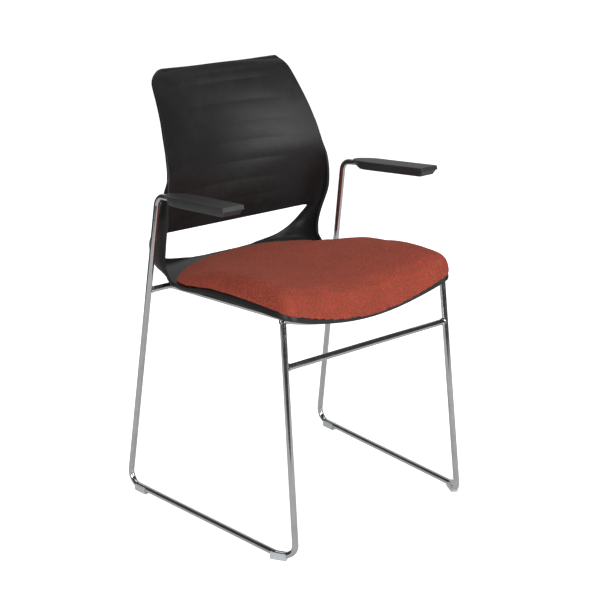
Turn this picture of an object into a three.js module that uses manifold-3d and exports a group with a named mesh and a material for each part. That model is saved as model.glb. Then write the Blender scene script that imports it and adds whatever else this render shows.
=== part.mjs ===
// Sled base visitor chair: a one-piece moulded seat and back shell with an upholstered seat pad,
// on two bent steel rod side frames with arm pads and floor glides.
// Millimetres. +Z is up, the sitter faces -Y, the sitter's left is +X.
// While it is built, y = 0 is the front edge of the seat and z = 0 is the floor.
import * as THREE from 'three';
import { mergeVertices } from 'three/addons/utils/BufferGeometryUtils.js';
import Module from 'manifold-3d';

const wasm = await Module();
wasm.setup();

// Overall sizes of the shell
const seatWidth = 428;
const seatDepth = 454;
const seatHeight = 437;
const backHeight = 401;
const shellThickness = 4;
const rimBead = 1.5;
const lipHeight = 8;

// Soft slats across the back: low crowns between sharp valleys, that fade out towards the wings
const valleyCount = 7;
const slatPitch = 39.35;
const slatStart = 123.5;
const slatCrown = 1.2;
const slatFadeShares = [0.35, 0.85];
const slatRowShares = [0.25, 0.75];

// Rods of the frame
const rodDiameter = 12;
const armHeight = 619;
const armSetback = 110;
const armOverhang = 19.8;
const armRodLength = 155;
const armRodRise = 11.4;
const armRodSplay = 5.4;
const rearFootSetback = 13.7;
const rearFootOverhang = 41.5;
const kinkSetback = 8;
const kinkOverhang = 17;
const frontFootReach = 26;
const frontFootInset = 2;
const legTopSetback = 22;
const legTopInset = 13.5;
const armBendRadius = 24;
const rearBendRadius = 25;
const kinkBendRadius = 20;
const frontBendRadius = 20;

// Rods that join the side frames
const railFrontInset = 16;
const railRearInset = 26;
const railClearance = 1;
const rearBarClearance = 3;
const frontBarDrop = 3.5;
const frontBarDip = 29.5;
const frontBarSag = 5;
const stretcherDrop = 75;

// Floor glides
const glideSole = 4.6;
const glideLength = 31;
const glideWidth = 15;
const glideWrap = 3.6;
const glideEdge = 2;
const frontGlideOffset = 6;
const rearGlideOffset = 39;

// Arm pads
const armPadLength = 204;
const armPadWidth = 47;
const armPadTop = 8.8;
const armPadBottom = 8.8;
const armPadTail = 37;
const armPadCrown = 1.2;
const armPadEdge = 4.5;

// Seat pad and its board
const padThickness = 41;
const padEdge = 3;
const padCrown = 7;
const boardThickness = 4;
const seatGap = 0.8;

// Lugs and screws
const tabLength = 26;
const tabReach = 22;
const tabThickness = 3;
const tabRise = 1.5;
const bossDiameter = 15;
const seatScrewDiameter = 6;
const padScrewDiameter = 4;
const padScrewBite = 2.6;
const armScrewDiameter = 5;
const headHeightShare = 0.6;
const headWidthShare = 1.8;
const headShares = [[0, 1], [0.8, 1], [1, 0.5], [1, 0]];
const frontTabShare = 0.12;
const rearTabShare = 0.8;
const armScrewShares = [0.26, 0.5];
const padScrewShares = [
  [0.5, 0.2],
  [0.46, 0.72],
];

// Gap between pieces that touch and round a screw, what a cutter runs past a face,
// and how far the holes go up through bosses and shell
const gap = 0.3;
const overrun = 5;
const bossReach = 25;

const half = seatWidth / 2;
const rodRadius = rodDiameter / 2;
const floorRod = glideSole + rodRadius;
const rodSides = 12;
const screwSides = 9;
const bendSteps = 7;

// Shell stations from the front rim over the seat, the two side struts and the back to the top.
// Centre y, centre z, edge x, edge y, edge z: shares of seatDepth, backHeight above the seat and half.
// Then the shape across (bow share, squareness of the wings), where the slot or the wing starts,
// the share of the turned-down lip, and how far the wings flare out between their fold and their edge.
const stationShares = [
  // seat, front to rear
  [0.007, -0.037, 0.869, 0.004, 0.051, 1, 4, 0.45, 0.56, 0],
  [0.015, -0.021, 0.935, 0.013, 0.06, 1, 4, 0.45, 0.6, 0],
  [0.032, -0.01, 0.965, 0.037, 0.069, 1, 4, 0.45, 0.8, 0],
  [0.081, 0.004, 0.986, 0.088, 0.076, 1, 4, 0.45, 1, 0],
  [0.229, 0.01, 1, 0.231, 0.077, 1, 4, 0.45, 0.88, 0],
  [0.383, 0.007, 1, 0.361, 0.069, 1, 4, 0.45, 0.75, 0],
  [0.537, 0.006, 0.998, 0.482, 0.06, 1, 4, 0.45, 0.63, 0],
  [0.681, 0.007, 0.991, 0.597, 0.037, 1, 4, 0.45, 0.5, 0],
  [0.791, 0.011, 0.974, 0.689, 0.02, 1, 4, 0.45, 0.38, 0],
  [0.89, 0.016, 0.946, 0.758, 0.016, 0.9, 4, 0.42, 0.25, 0],
  [0.956, 0.02, 0.918, 0.8, 0.025, 0.5, 4.5, 0.36, 0.13, 0],
  // slot, with the struts on both sides of it
  [1, 0.022, 0.909, 0.832, 0.059, 0, 5, 0.36, 0.04, 0],
  [0.998, 0.041, 0.904, 0.837, 0.075, 0, 7, 0.72, 0, 0.02],
  [0.993, 0.094, 0.902, 0.84, 0.117, 0, 14, 0.908, 0, 0.05],
  [0.989, 0.127, 0.902, 0.836, 0.152, 0.05, 17, 0.951, 0, 0.065],
  [0.987, 0.16, 0.908, 0.827, 0.195, 0.15, 18, 0.957, 0, 0.07],
  [0.985, 0.183, 0.918, 0.813, 0.247, 0.28, 19, 0.963, 0, 0.065],
  // back, with wings that fade upwards
  [0.965, 0.227, 0.925, 0.801, 0.279, 0.28, 19, 0.94, 0, 0.055],
  [0.943, 0.282, 0.932, 0.79, 0.317, 0.28, 18, 0.9, 0, 0.045],
  [0.926, 0.337, 0.935, 0.784, 0.354, 0.32, 16, 0.85, 0, 0.035],
  [0.911, 0.426, 0.926, 0.781, 0.431, 0.55, 15, 0.8, 0, 0.025],
  [0.907, 0.526, 0.909, 0.789, 0.526, 0.86, 11, 0.72, 0, 0],
  [0.913, 0.616, 0.894, 0.813, 0.61, 1, 6, 0.66, 0, 0],
  [0.925, 0.701, 0.874, 0.843, 0.692, 1, 4, 0.62, 0, 0],
  [0.943, 0.783, 0.848, 0.878, 0.772, 1, 4, 0.6, 0, 0],
  [0.965, 0.86, 0.822, 0.922, 0.852, 1, 4, 0.6, 0, 0],
  [0.983, 0.913, 0.803, 0.958, 0.91, 1, 4, 0.6, 0, 0],
  [0.996, 0.938, 0.792, 0.975, 0.938, 1, 4, 0.6, 0, 0],
  [1.003, 0.956, 0.771, 0.986, 0.96, 1, 4, 0.6, 0, 0],
  [1.009, 0.971, 0.741, 0.991, 0.975, 1, 4, 0.6, 0, 0],
  [1.012, 0.984, 0.696, 0.989, 0.985, 1, 4, 0.6, 0, 0],
];
const slotStart = 11;
const slotEnd = 16;
const slotCornerShare = 0.02;
const lastStation = stationShares.length - 1;

// Stations that have a row of points: over the seat, beside the slot, above it and at the top edge
const seatRows = [0, 1, 2, 3, 3.5, 4, 5, 6, 7, 7.5, 8, 8.5, 9, 9.5, 10, 10.5];
const slotRows = [11, 11.35, 11.7, 12, 12.4, 13, 13.5, 14, 15, 15.7, 15.9, 16];
const firstBackRow = 16.6;
const topRows = [27, 28, 29, 30];

const materials = {
  shell: finish(0x2b2c2e, 0.5, 0),
  fabric: finish(0x93402f, 0.95, 0),
  chrome: finish(0xc9cbcd, 0.12, 1),
  steel: finish(0x8d9093, 0.35, 1),
  pad: finish(0x3a3c3e, 0.55, 0),
  glide: finish(0xb9bcbe, 0.45, 0),
  board: finish(0x1c1c1c, 0.7, 0),
};

const chair = new THREE.Group();

function finish(color, roughness, metalness) {
  return new THREE.MeshStandardMaterial({ color, roughness, metalness });
}

function add(name, geometry, material) {
  const mesh = new THREE.Mesh(geometry, materials[material]);
  mesh.name = name;
  chair.add(mesh);
}

// Solids

function toSolid(geometry) {
  const plain = geometry.clone();
  plain.deleteAttribute('normal');
  plain.deleteAttribute('uv');
  const merged = mergeVertices(plain);
  return new wasm.Manifold(
    new wasm.Mesh({
      numProp: 3,
      vertProperties: new Float32Array(merged.attributes.position.array),
      triVerts: new Uint32Array(merged.index.array),
    }),
  );
}

function toGeometry(solid) {
  const mesh = solid.getMesh();
  const geometry = new THREE.BufferGeometry();
  geometry.setAttribute('position', new THREE.BufferAttribute(mesh.vertProperties, mesh.numProp));
  geometry.setIndex(new THREE.BufferAttribute(mesh.triVerts, 1));
  geometry.computeVertexNormals();
  return geometry;
}

function cut(geometry, cutters) {
  return toGeometry(cutters.reduce((solid, cutter) => solid.subtract(toSolid(cutter)), toSolid(geometry)));
}

function join(geometry, others) {
  return toGeometry(others.reduce((solid, other) => solid.add(toSolid(other)), toSolid(geometry)));
}

function fromTriangles(points, triangles) {
  const geometry = new THREE.BufferGeometry();
  geometry.setAttribute('position', new THREE.Float32BufferAttribute(points.flatMap((p) => p.toArray()), 3));
  geometry.setIndex(triangles);
  geometry.computeVertexNormals();
  return geometry;
}

// The same solid on the other side of the chair
function mirrored(geometry) {
  const other = geometry.clone();
  if (!other.index) {
    other.setIndex([...Array(other.attributes.position.count).keys()]);
  }
  other.scale(-1, 1, 1);
  const index = other.index.array;
  for (let i = 0; i < index.length; i += 3) {
    [index[i], index[i + 2]] = [index[i + 2], index[i]];
  }
  other.computeVertexNormals();
  return other;
}

function upright(radius, bottom, top, x, y) {
  const geometry = new THREE.CylinderGeometry(radius, radius, top - bottom, rodSides);
  geometry.rotateX(Math.PI / 2);
  geometry.translate(x, y, (top + bottom) / 2);
  return geometry;
}

// Rods

// A path of straight runs and rounded bends, with one step at each end of a run and bendSteps in a bend
class RodPath extends THREE.Curve {
  constructor(corners, radii) {
    super();
    this.knots = [corners[0]];
    for (let i = 1; i < corners.length - 1; i += 1) {
      this.knots.push(...bend(corners[i - 1], corners[i], corners[i + 1], radii[i - 1]));
    }
    this.knots.push(corners[corners.length - 1]);
  }

  getPoint(t) {
    const last = this.knots.length - 1;
    const at = Math.min(Math.floor(t * last + 1e-6), last - 1);
    return this.knots[at].clone().lerp(this.knots[at + 1], Math.min(t * last - at, 1));
  }

  getPointAt(t) {
    return this.getPoint(t);
  }

  getTangentAt(t) {
    const last = this.knots.length - 1;
    const at = Math.round(t * last);
    const before = this.direction(Math.max(at - 1, 0));
    const after = this.direction(Math.min(at, last - 1));
    return before.add(after).normalize();
  }

  direction(run) {
    return this.knots[run + 1].clone().sub(this.knots[run]).normalize();
  }
}

function bend(before, corner, after, radius) {
  const a = before.clone().sub(corner).normalize();
  const b = after.clone().sub(corner).normalize();
  const halfAngle = Math.acos(a.dot(b)) / 2;
  const middle = a.clone().add(b).normalize();
  const centre = corner.clone().addScaledVector(middle, radius / Math.sin(halfAngle));
  const start = corner.clone().addScaledVector(a, radius / Math.tan(halfAngle)).sub(centre);
  const axis = new THREE.Vector3().crossVectors(b, a).normalize();
  const turn = Math.PI - 2 * halfAngle;
  const steps = Math.max(2, Math.round((bendSteps * turn) / (Math.PI / 2)));
  return Array.from({ length: steps + 1 }, (_, i) =>
    start.clone().applyAxisAngle(axis, (turn * i) / steps).add(centre));
}

function rod(path, radius, steps = path.knots.length - 1) {
  const section = new THREE.Shape();
  section.absarc(0, 0, radius, 0, 2 * Math.PI);
  return new THREE.ExtrudeGeometry(section, {
    steps,
    curveSegments: rodSides / 2,
    extrudePath: path,
    bevelEnabled: false,
  });
}

function straightRod(from, to, radius = rodRadius) {
  return rod(new RodPath([from, to], []), radius);
}

function vec(x, y, z) {
  return new THREE.Vector3(x, y, z);
}

function between(from, to, height) {
  return from.clone().lerp(to, (height - from.z) / (to.z - from.z));
}

// Shell surface

function alongStations(column, u) {
  const at = Math.min(Math.floor(u), lastStation - 1);
  const t = u - at;
  const value = (i) => stationShares[Math.min(Math.max(i, 0), lastStation)][column];
  const [p, q, r, s] = [value(at - 1), value(at), value(at + 1), value(at + 2)];
  return q + 0.5 * t * (r - p + t * (2 * p - 5 * q + 4 * r - s + t * (3 * (q - r) + s - p)));
}

function sectionAt(u) {
  return {
    centreY: seatDepth * alongStations(0, u),
    centreZ: seatHeight + backHeight * alongStations(1, u),
    edgeX: half * alongStations(2, u),
    edgeY: seatDepth * alongStations(3, u),
    edgeZ: seatHeight + backHeight * alongStations(4, u),
    bow: alongStations(5, u),
    square: alongStations(6, u),
    start: alongStations(7, u),
    lip: lipHeight * alongStations(8, u),
    flare: alongStations(9, u),
  };
}

// One point of the smooth sitter's side: u runs over the stations, across from -1 (right) to 1 (left)
function surfacePoint(u, across) {
  const s = sectionAt(u);
  const wing = 1 - Math.sqrt(Math.max(0, 1 - Math.abs(across) ** s.square));
  const rise = s.bow * across * across + (1 - s.bow) * wing;
  return vec(
    s.edgeX * across * (1 + 4 * s.flare * wing * (1 - wing)),
    s.centreY + (s.edgeY - s.centreY) * rise,
    s.centreZ + (s.edgeZ - s.centreZ) * rise,
  );
}

function surfaceNormal(u, across) {
  const du = 0.02;
  const dx = 0.004;
  const along = surfacePoint(Math.min(u + du, lastStation), across)
    .sub(surfacePoint(Math.max(u - du, 0), across));
  const over = surfacePoint(u, Math.min(across + dx, 1)).sub(surfacePoint(u, Math.max(across - dx, -1)));
  return over.cross(along).normalize();
}

function smoothShare(value, from, to) {
  return THREE.MathUtils.smoothstep(value, from, to);
}

// How far the slats across the back stand forward of the smooth surface
function slatOffset(u, across) {
  if (u < slotEnd) {
    return 0;
  }
  const place = (sectionAt(u).centreZ - seatHeight - slatStart) / slatPitch;
  const valley = Math.min(Math.max(Math.round(place), 0), valleyCount - 1);
  const away = Math.abs(place - valley);
  const crown = away < 0.5 ? 1 - (1 - 2 * away) ** 2 : 1 - smoothShare(away, 0.5, 1);
  const fade = 1 - smoothShare(Math.abs(across), ...slatFadeShares);
  return slatCrown * crown * fade;
}

// Places across one row: even steps to the slot or wing, then steps spaced by length and by turn.
// The upper corners of the slot are rounded, and the rows of the wings are closer than the rows above them.
const innerColumns = 3;
const outerColumns = 7;
const wingSlats = 3;
const turnReach = 22;

function slotCorner(u) {
  const rise = u - slotEnd + 1;
  return rise > 0 && rise <= 1 ? slotCornerShare * (1 - Math.sqrt(1 - rise ** 6)) : 0;
}

function rowPlaces(u) {
  const section = sectionAt(u);
  const { square } = section;
  const start = section.start - slotCorner(u);
  const samples = 80;
  const first = Math.asin(start ** (square / 2));
  const places = Array.from({ length: samples + 1 }, (_, i) => {
    const angle = first + ((Math.PI / 2 - first) * i) / samples;
    return Math.sin(angle) ** (2 / square);
  });
  const points = places.map((place) => surfacePoint(u, place));
  const travelled = [0];
  for (let i = 1; i <= samples; i += 1) {
    const run = points[i].clone().sub(points[i - 1]);
    const last = i > 1 ? points[i - 1].clone().sub(points[i - 2]) : run;
    travelled.push(travelled[i - 1] + run.length() + turnReach * run.angleTo(last));
  }
  const inner = Array.from({ length: innerColumns }, (_, i) => (start * i) / innerColumns);
  const outer = Array.from({ length: outerColumns + 1 }, (_, i) => {
    const goal = (travelled[samples] * i) / outerColumns;
    const after = Math.max(1, travelled.findIndex((distance) => distance >= goal - 1e-9));
    const share = (goal - travelled[after - 1]) / (travelled[after] - travelled[after - 1]);
    return THREE.MathUtils.lerp(places[after - 1], places[after], share);
  });
  return [...inner, ...outer];
}

// The station number on the back where the centre line has a given height
function stationAtHeight(height) {
  let [low, high] = [slotEnd, lastStation];
  for (let i = 0; i < 40; i += 1) {
    const middle = (low + high) / 2;
    if (sectionAt(middle).centreZ < height) {
      low = middle;
    } else {
      high = middle;
    }
  }
  return low;
}

function shellRows() {
  const back = [firstBackRow];
  for (let slat = 0; slat <= valleyCount; slat += 1) {
    const valley = seatHeight + slatStart + (slat - 1) * slatPitch;
    const shares = slat <= wingSlats ? [...slatRowShares, 0.5].sort() : slatRowShares;
    back.push(...shares.map((share) => stationAtHeight(valley + share * slatPitch)));
    back.push(stationAtHeight(valley + slatPitch));
  }
  return [...seatRows, ...slotRows, ...back.filter((u) => u < topRows[0] - 0.2), ...topRows];
}

// The skin: sitter's side, far side, and between them the rim with its bead and turned-down lip
function shellSkin() {
  const rows = shellRows();
  const width = innerColumns + outerColumns;
  const columns = 2 * width + 1;
  const front = [];
  const normals = [];
  const lips = [];
  rows.forEach((u) => {
    const places = rowPlaces(u);
    for (let column = -width; column <= width; column += 1) {
      const across = Math.sign(column) * places[Math.abs(column)];
      const normal = surfaceNormal(u, across);
      front.push(surfacePoint(u, across).addScaledVector(normal, slatOffset(u, across)));
      normals.push(normal);
      lips.push(sectionAt(u).lip);
    }
  });

  const frontFaces = [];
  for (let row = 0; row < rows.length - 1; row += 1) {
    const inSlot = rows[row] >= slotStart && rows[row] < slotEnd;
    for (let column = 0; column < columns - 1; column += 1) {
      const fromCentre = Math.abs(column + 0.5 - width);
      if (inSlot && fromCentre < innerColumns) {
        continue;
      }
      const a = row * columns + column;
      frontFaces.push([a, a + 1, a + columns + 1], [a, a + columns + 1, a + columns]);
    }
  }
  return rimmed(front, normals, lips, frontFaces);
}

function rimmed(front, normals, lips, frontFaces) {
  const next = new Map();
  const previous = new Map();
  const directed = new Set(frontFaces.flatMap(([a, b, c]) => [`${a},${b}`, `${b},${c}`, `${c},${a}`]));
  directed.forEach((edge) => {
    const [a, b] = edge.split(',').map(Number);
    if (!directed.has(`${b},${a}`)) {
      next.set(a, b);
      previous.set(b, a);
    }
  });

  const used = [...new Set(frontFaces.flat())];
  const points = [];
  const frontIndex = new Map();
  const rearIndex = new Map();
  const rimIndex = new Map();
  const innerIndex = new Map();
  const put = (point) => points.push(point) - 1;
  used.forEach((i) => {
    const rear = front[i].clone().addScaledVector(normals[i], -shellThickness);
    frontIndex.set(i, put(front[i]));
    if (!next.has(i)) {
      rearIndex.set(i, put(rear));
      return;
    }
    const tangent = front[next.get(i)].clone().sub(front[previous.get(i)]);
    const inward = tangent.cross(normals[i]).normalize().multiplyScalar(-shellThickness);
    const rim = front[i].clone().addScaledVector(normals[i], -shellThickness - rimBead);
    rim.z -= lips[i];
    rimIndex.set(i, put(rim));
    innerIndex.set(i, put(rim.clone().add(inward)));
    rearIndex.set(i, put(rear.add(inward)));
  });

  const triangles = [];
  frontFaces.forEach(([a, b, c]) => {
    triangles.push(frontIndex.get(a), frontIndex.get(b), frontIndex.get(c));
    triangles.push(rearIndex.get(a), rearIndex.get(c), rearIndex.get(b));
  });
  const strip = (upper, lower, a, b) => {
    triangles.push(upper.get(b), upper.get(a), lower.get(a));
    triangles.push(upper.get(b), lower.get(a), lower.get(b));
  };
  next.forEach((b, a) => {
    strip(frontIndex, rimIndex, a, b);
    strip(rimIndex, innerIndex, a, b);
    strip(innerIndex, rearIndex, a, b);
  });
  return fromTriangles(points, triangles);
}

// The station number and place across where the seat surface has a given x and y
function seatAt(x, y) {
  let [low, high] = [0, slotStart];
  for (let i = 0; i < 40; i += 1) {
    const middle = (low + high) / 2;
    if (surfacePoint(middle, x / sectionAt(middle).edgeX).y < y) {
      low = middle;
    } else {
      high = middle;
    }
  }
  return surfacePoint(low, x / sectionAt(low).edgeX);
}

function underSeat(x, y) {
  return seatAt(x, y).z - shellThickness;
}

// Frame layout, left side
const armBend = vec(half + armOverhang, seatDepth - armSetback, armHeight);
const armEnd = armBend.clone().add(vec(armRodSplay, -armRodLength, armRodRise));
const rearFoot = vec(half + rearFootOverhang, seatDepth - rearFootSetback, floorRod);
const kink = vec(half + kinkOverhang, kinkSetback, floorRod);
const frontFoot = vec(half - frontFootInset, -frontFootReach, floorRod);
const railFrontX = half - railFrontInset;
const railFrontZ = underSeat(railFrontX, legTopSetback + rodRadius) - rodRadius - railClearance;
const frontBarEndZ = railFrontZ - frontBarDrop;
const legTop = vec(half - legTopInset, legTopSetback, frontBarEndZ - rodRadius - gap);
const sidePath = new RodPath(
  [armEnd, armBend, rearFoot, kink, frontFoot, legTop],
  [armBendRadius, rearBendRadius, kinkBendRadius, frontBendRadius],
);

const legLineY = between(armBend, rearFoot, seatHeight).y;
const rearBarZ = underSeat(0, legLineY) - rodRadius - rearBarClearance;
const rearBarEnd = between(armBend, rearFoot, rearBarZ);
const railFront = vec(railFrontX, legTopSetback + rodRadius + gap, railFrontZ);
const railRear = vec(half - railRearInset, rearBarEnd.y - rodRadius - gap, rearBarZ);
const stretcherEnd = between(frontFoot, legTop, seatHeight - stretcherDrop);

// Arm pad sections along the arm rod, from the tail to the front:
// share of the length, share of the width, share of the height above and below the rod
const armPadShares = [
  [0, 0.3, 1, -0.1],
  [0.04, 0.52, 1, 0.08],
  [0.09, 0.72, 1, 0.4],
  [0.16, 0.9, 1, 0.78],
  [0.26, 0.99, 1, 1],
  [0.6, 1, 1, 1],
  [0.95, 1, 1, 0.94],
  [0.985, 0.96, 0.86, 0.84],
  [1, 0.9, 0.5, 0.66],
];

const armForward = armEnd.clone().sub(armBend).normalize();
const armSide = vec(0, 0, 1).cross(armForward).normalize();
const armUp = armForward.clone().cross(armSide).normalize();

function armPoint(forward, side, up) {
  return armBend.clone()
    .addScaledVector(armForward, armPadTail + forward)
    .addScaledVector(armSide, side)
    .addScaledVector(armUp, up);
}

// Half of a section, from the bottom middle to the top middle: across and up as corners with a soft edge
function armPadSection(widthShare, topShare, bottomShare) {
  const reach = (armPadWidth / 2) * widthShare;
  const top = armPadTop * topShare;
  const bottom = -armPadBottom * bottomShare;
  const edge = Math.min(armPadEdge, (top - bottom) / 2 - gap, reach / 2);
  const crown = armPadCrown * widthShare;
  const low = [[0, bottom], [reach - edge, bottom], [reach - edge / 4, bottom + edge / 4]];
  const high = [[reach, bottom + edge], [reach, top - edge], [reach - edge / 4, top - edge / 4]];
  return [...low, ...high, [reach - edge, top], [reach / 2, top + crown * 0.8], [0, top + crown]];
}

function armPad() {
  const points = [];
  const triangles = [];
  const rings = armPadShares.map(([lengthShare, ...shape]) => {
    const right = armPadSection(...shape);
    const left = right.slice(1, -1).reverse().map(([side, up]) => [-side, up]);
    return [...right, ...left].map(([side, up]) => {
      points.push(armPoint(armPadLength * lengthShare, side, up));
      return points.length - 1;
    });
  });
  rings.slice(1).forEach((ring, i) => {
    const before = rings[i];
    ring.forEach((a, j) => {
      const k = (j + 1) % ring.length;
      triangles.push(before[j], before[k], ring[k], before[j], ring[k], a);
    });
  });
  for (let j = 1; j < rings[0].length - 1; j += 1) {
    const last = rings[rings.length - 1];
    triangles.push(rings[0][0], rings[0][j + 1], rings[0][j]);
    triangles.push(last[0], last[j], last[j + 1]);
  }
  const rodEnd = armRodLength / -armForward.y - armPadTail;
  const bore = straightRod(armPoint(-armPadTail / 2, 0, 0), armPoint(rodEnd + gap, 0, 0), rodRadius + gap);
  return cut(fromTriangles(points, triangles), [bore, ...armScrewHoles()]);
}

function armScrewHoles() {
  return armScrewShares.map((share) => {
    const forward = armPadLength * share;
    return straightRod(
      armPoint(forward, 0, -armPadBottom - overrun),
      armPoint(forward, 0, rodRadius - 2 * gap),
      armScrewDiameter / 2 + gap,
    );
  });
}

// A pan head screw that stands on its head: head below z = 0, shank of a given length above
function screw(diameter, length) {
  const radius = diameter / 2;
  const head = radius * headWidthShare;
  const depth = diameter * headHeightShare;
  const profile = [
    ...headShares.map(([widthShare, depthShare]) => [head * widthShare, -depth * depthShare]),
    [radius, 0],
    [radius, length - radius / 2],
    [radius / 2, length],
    [0, length],
  ];
  const geometry = new THREE.LatheGeometry(profile.map(([x, y]) => new THREE.Vector2(x, y)), screwSides);
  geometry.rotateX(Math.PI / 2);
  return geometry;
}

// Lugs on the seat rails, and the shell bosses above them
function tabFrame(share) {
  const on = railFront.clone().lerp(railRear, share);
  const direction = railRear.clone().sub(railFront);
  const turn = Math.atan2(-direction.x, direction.y);
  const inward = vec(-Math.cos(turn), -Math.sin(turn), 0);
  const weld = on.clone().addScaledVector(inward, rodRadius + gap);
  const hole = weld.clone().addScaledVector(inward, tabReach / 2);
  return { weld, hole, turn, top: on.z + tabRise };
}

function tab({ weld, turn, top }) {
  const outline = new THREE.Shape();
  const reach = tabReach;
  const side = tabLength / 2;
  const corner = tabReach / 3;
  outline.moveTo(0, -side);
  outline.lineTo(0, side);
  outline.lineTo(-reach + corner, side);
  outline.absarc(-reach + corner, side - corner, corner, Math.PI / 2, Math.PI);
  outline.absarc(-reach + corner, -side + corner, corner, Math.PI, 1.5 * Math.PI);
  outline.closePath();
  const hole = new THREE.Path();
  hole.absarc(-reach / 2, 0, seatScrewDiameter / 2 + gap, 0, 2 * Math.PI, true);
  outline.holes.push(hole);
  const geometry = new THREE.ExtrudeGeometry(outline, {
    depth: tabThickness,
    curveSegments: 4,
    bevelEnabled: false,
  });
  geometry.rotateZ(turn);
  geometry.translate(weld.x, weld.y, top - tabThickness);
  return geometry;
}

// Floor glide: a block with a flat sole that wraps the rod and snaps onto it from below
function glide(centre, direction) {
  const outline = new THREE.Shape();
  const side = glideWidth / 2;
  const top = floorRod + glideWrap;
  outline.moveTo(-side + glideEdge, 0);
  outline.lineTo(side - glideEdge, 0);
  outline.lineTo(side, glideEdge);
  outline.lineTo(side, top - glideEdge);
  outline.lineTo(side - glideEdge, top);
  outline.lineTo(-side + glideEdge, top);
  outline.lineTo(-side, top - glideEdge);
  outline.lineTo(-side, glideEdge);
  outline.closePath();
  const geometry = new THREE.ExtrudeGeometry(outline, { depth: glideLength, bevelEnabled: false });
  geometry.translate(0, 0, -glideLength / 2);
  geometry.rotateX(Math.PI / 2);
  geometry.rotateZ(Math.atan2(-direction.x, direction.y));
  geometry.translate(centre.x, centre.y, 0);
  return cut(geometry, [rod(sidePath, rodRadius + gap)]);
}

function along(from, to, distance) {
  const direction = to.clone().sub(from).normalize();
  return { centre: from.clone().addScaledVector(direction, distance), direction };
}

// Seat pad: its rear edge sweeps forward at the corners, and its sides draw in between them
const padFrontShare = 0.0067;
const padRearShare = 0.324;
const padSweepShare = 0.0317;
const padSideShare = 0.996;
const padDrawShare = 0.005;
const padCornerShare = 0.03;
const padFallShare = 0.55;
const padFallShares = [0.45, 1];
const padCornerShares = [0.85, 1];
const rollShares = { side: [22, 3], front: [16, 2.6], rear: [6, 2.2] };
const boardShare = 0.84;
const boardFrontShare = 0.05;
const boardRearShare = 0.93;
const boardEdgeShare = 0.006;

function padStation(along01, across) {
  const rearShare = padRearShare - padSweepShare * Math.abs(across) ** 4;
  return lastStation * THREE.MathUtils.lerp(padFrontShare, rearShare, along01);
}

function padPlace(along01, side) {
  const corner = padCornerShare * smoothShare(along01, ...padCornerShares);
  const across = side * (padSideShare - padDrawShare * Math.sin(Math.PI * along01) - corner);
  return surfacePoint(padStation(along01, across), across);
}

// How one edge of the pad rolls over: 1 inside, 0 at the edge
function rolled(share, [squareness, roundness]) {
  return (1 - share ** squareness) ** (1 / roundness);
}

function padHeight(along01, side) {
  const forward = Math.max(1 - 2 * along01, 0);
  const rearward = Math.max(2 * along01 - 1, 0);
  const edges = rolled(Math.abs(side), rollShares.side)
    * rolled(forward, rollShares.front)
    * rolled(rearward, rollShares.rear);
  const taper = 1 - padFallShare * smoothShare(along01, ...padFallShares);
  const full = padThickness - padEdge - padCrown * side * side;
  return padEdge + full * edges * taper;
}

// A closed slab over a grid of places, from a lower to an upper surface
function slab(rows, sides, lower, upper) {
  const points = [];
  const put = (point) => points.push(point) - 1;
  const low = rows.map((row) => sides.map((side) => put(lower(row, side))));
  const high = rows.map((row) => sides.map((side) => put(upper(row, side))));
  const triangles = [];
  const quad = (a, b, c, d) => triangles.push(a, b, c, a, c, d);
  for (let i = 0; i < rows.length - 1; i += 1) {
    for (let j = 0; j < sides.length - 1; j += 1) {
      quad(high[i][j], high[i][j + 1], high[i + 1][j + 1], high[i + 1][j]);
      quad(low[i][j], low[i + 1][j], low[i + 1][j + 1], low[i][j + 1]);
    }
    const last = sides.length - 1;
    quad(low[i][0], high[i][0], high[i + 1][0], low[i + 1][0]);
    quad(low[i][last], low[i + 1][last], high[i + 1][last], high[i][last]);
  }
  for (let j = 0; j < sides.length - 1; j += 1) {
    const last = rows.length - 1;
    quad(low[0][j], low[0][j + 1], high[0][j + 1], high[0][j]);
    quad(low[last][j], high[last][j], high[last][j + 1], low[last][j + 1]);
  }
  return fromTriangles(points, triangles);
}

function bothSides(shares) {
  return [...shares.slice(1).reverse().map((share) => -share), ...shares];
}

function raised(point, height) {
  point.z += height;
  return point;
}

const padRowShares = [
  0, 0.012, 0.03, 0.05, 0.058, 0.12, 0.2, 0.3, 0.42, 0.54,
  0.66, 0.76, 0.84, 0.9, 0.93, 0.938, 0.965, 0.985, 1,
];
const padSideShares = [0, 0.2, 0.4, 0.58, 0.72, 0.84, 0.853, 0.91, 0.955, 0.985, 1];

function seatPad() {
  const pocket = seatGap + boardThickness + seatGap;
  const inPocket = (row, side) =>
    row > boardFrontShare - 0.001 && row < boardRearShare + 0.001 && Math.abs(side) < boardShare + 0.001;
  return slab(
    padRowShares,
    bothSides(padSideShares),
    (row, side) => raised(padPlace(row, side), inPocket(row, side) ? pocket : seatGap),
    (row, side) => raised(padPlace(row, side), seatGap + padHeight(row, side)),
  );
}

function seatBoard() {
  const first = boardFrontShare + boardEdgeShare;
  const rows = [first, 0.12, 0.2, 0.3, 0.42, 0.54, 0.66, 0.76, 0.84, boardRearShare - boardEdgeShare];
  const sides = bothSides([0, 0.2, 0.4, 0.58, 0.72, boardShare - boardEdgeShare]);
  const board = slab(
    rows,
    sides,
    (row, side) => raised(padPlace(row, side), seatGap),
    (row, side) => raised(padPlace(row, side), seatGap + boardThickness),
  );
  return cut(board, padScrews.map(({ x, y, z }) =>
    upright(padScrewDiameter / 2 + gap, z, z + seatGap + padScrewBite + shellThickness + gap, x, y)));
}

// Build

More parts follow.
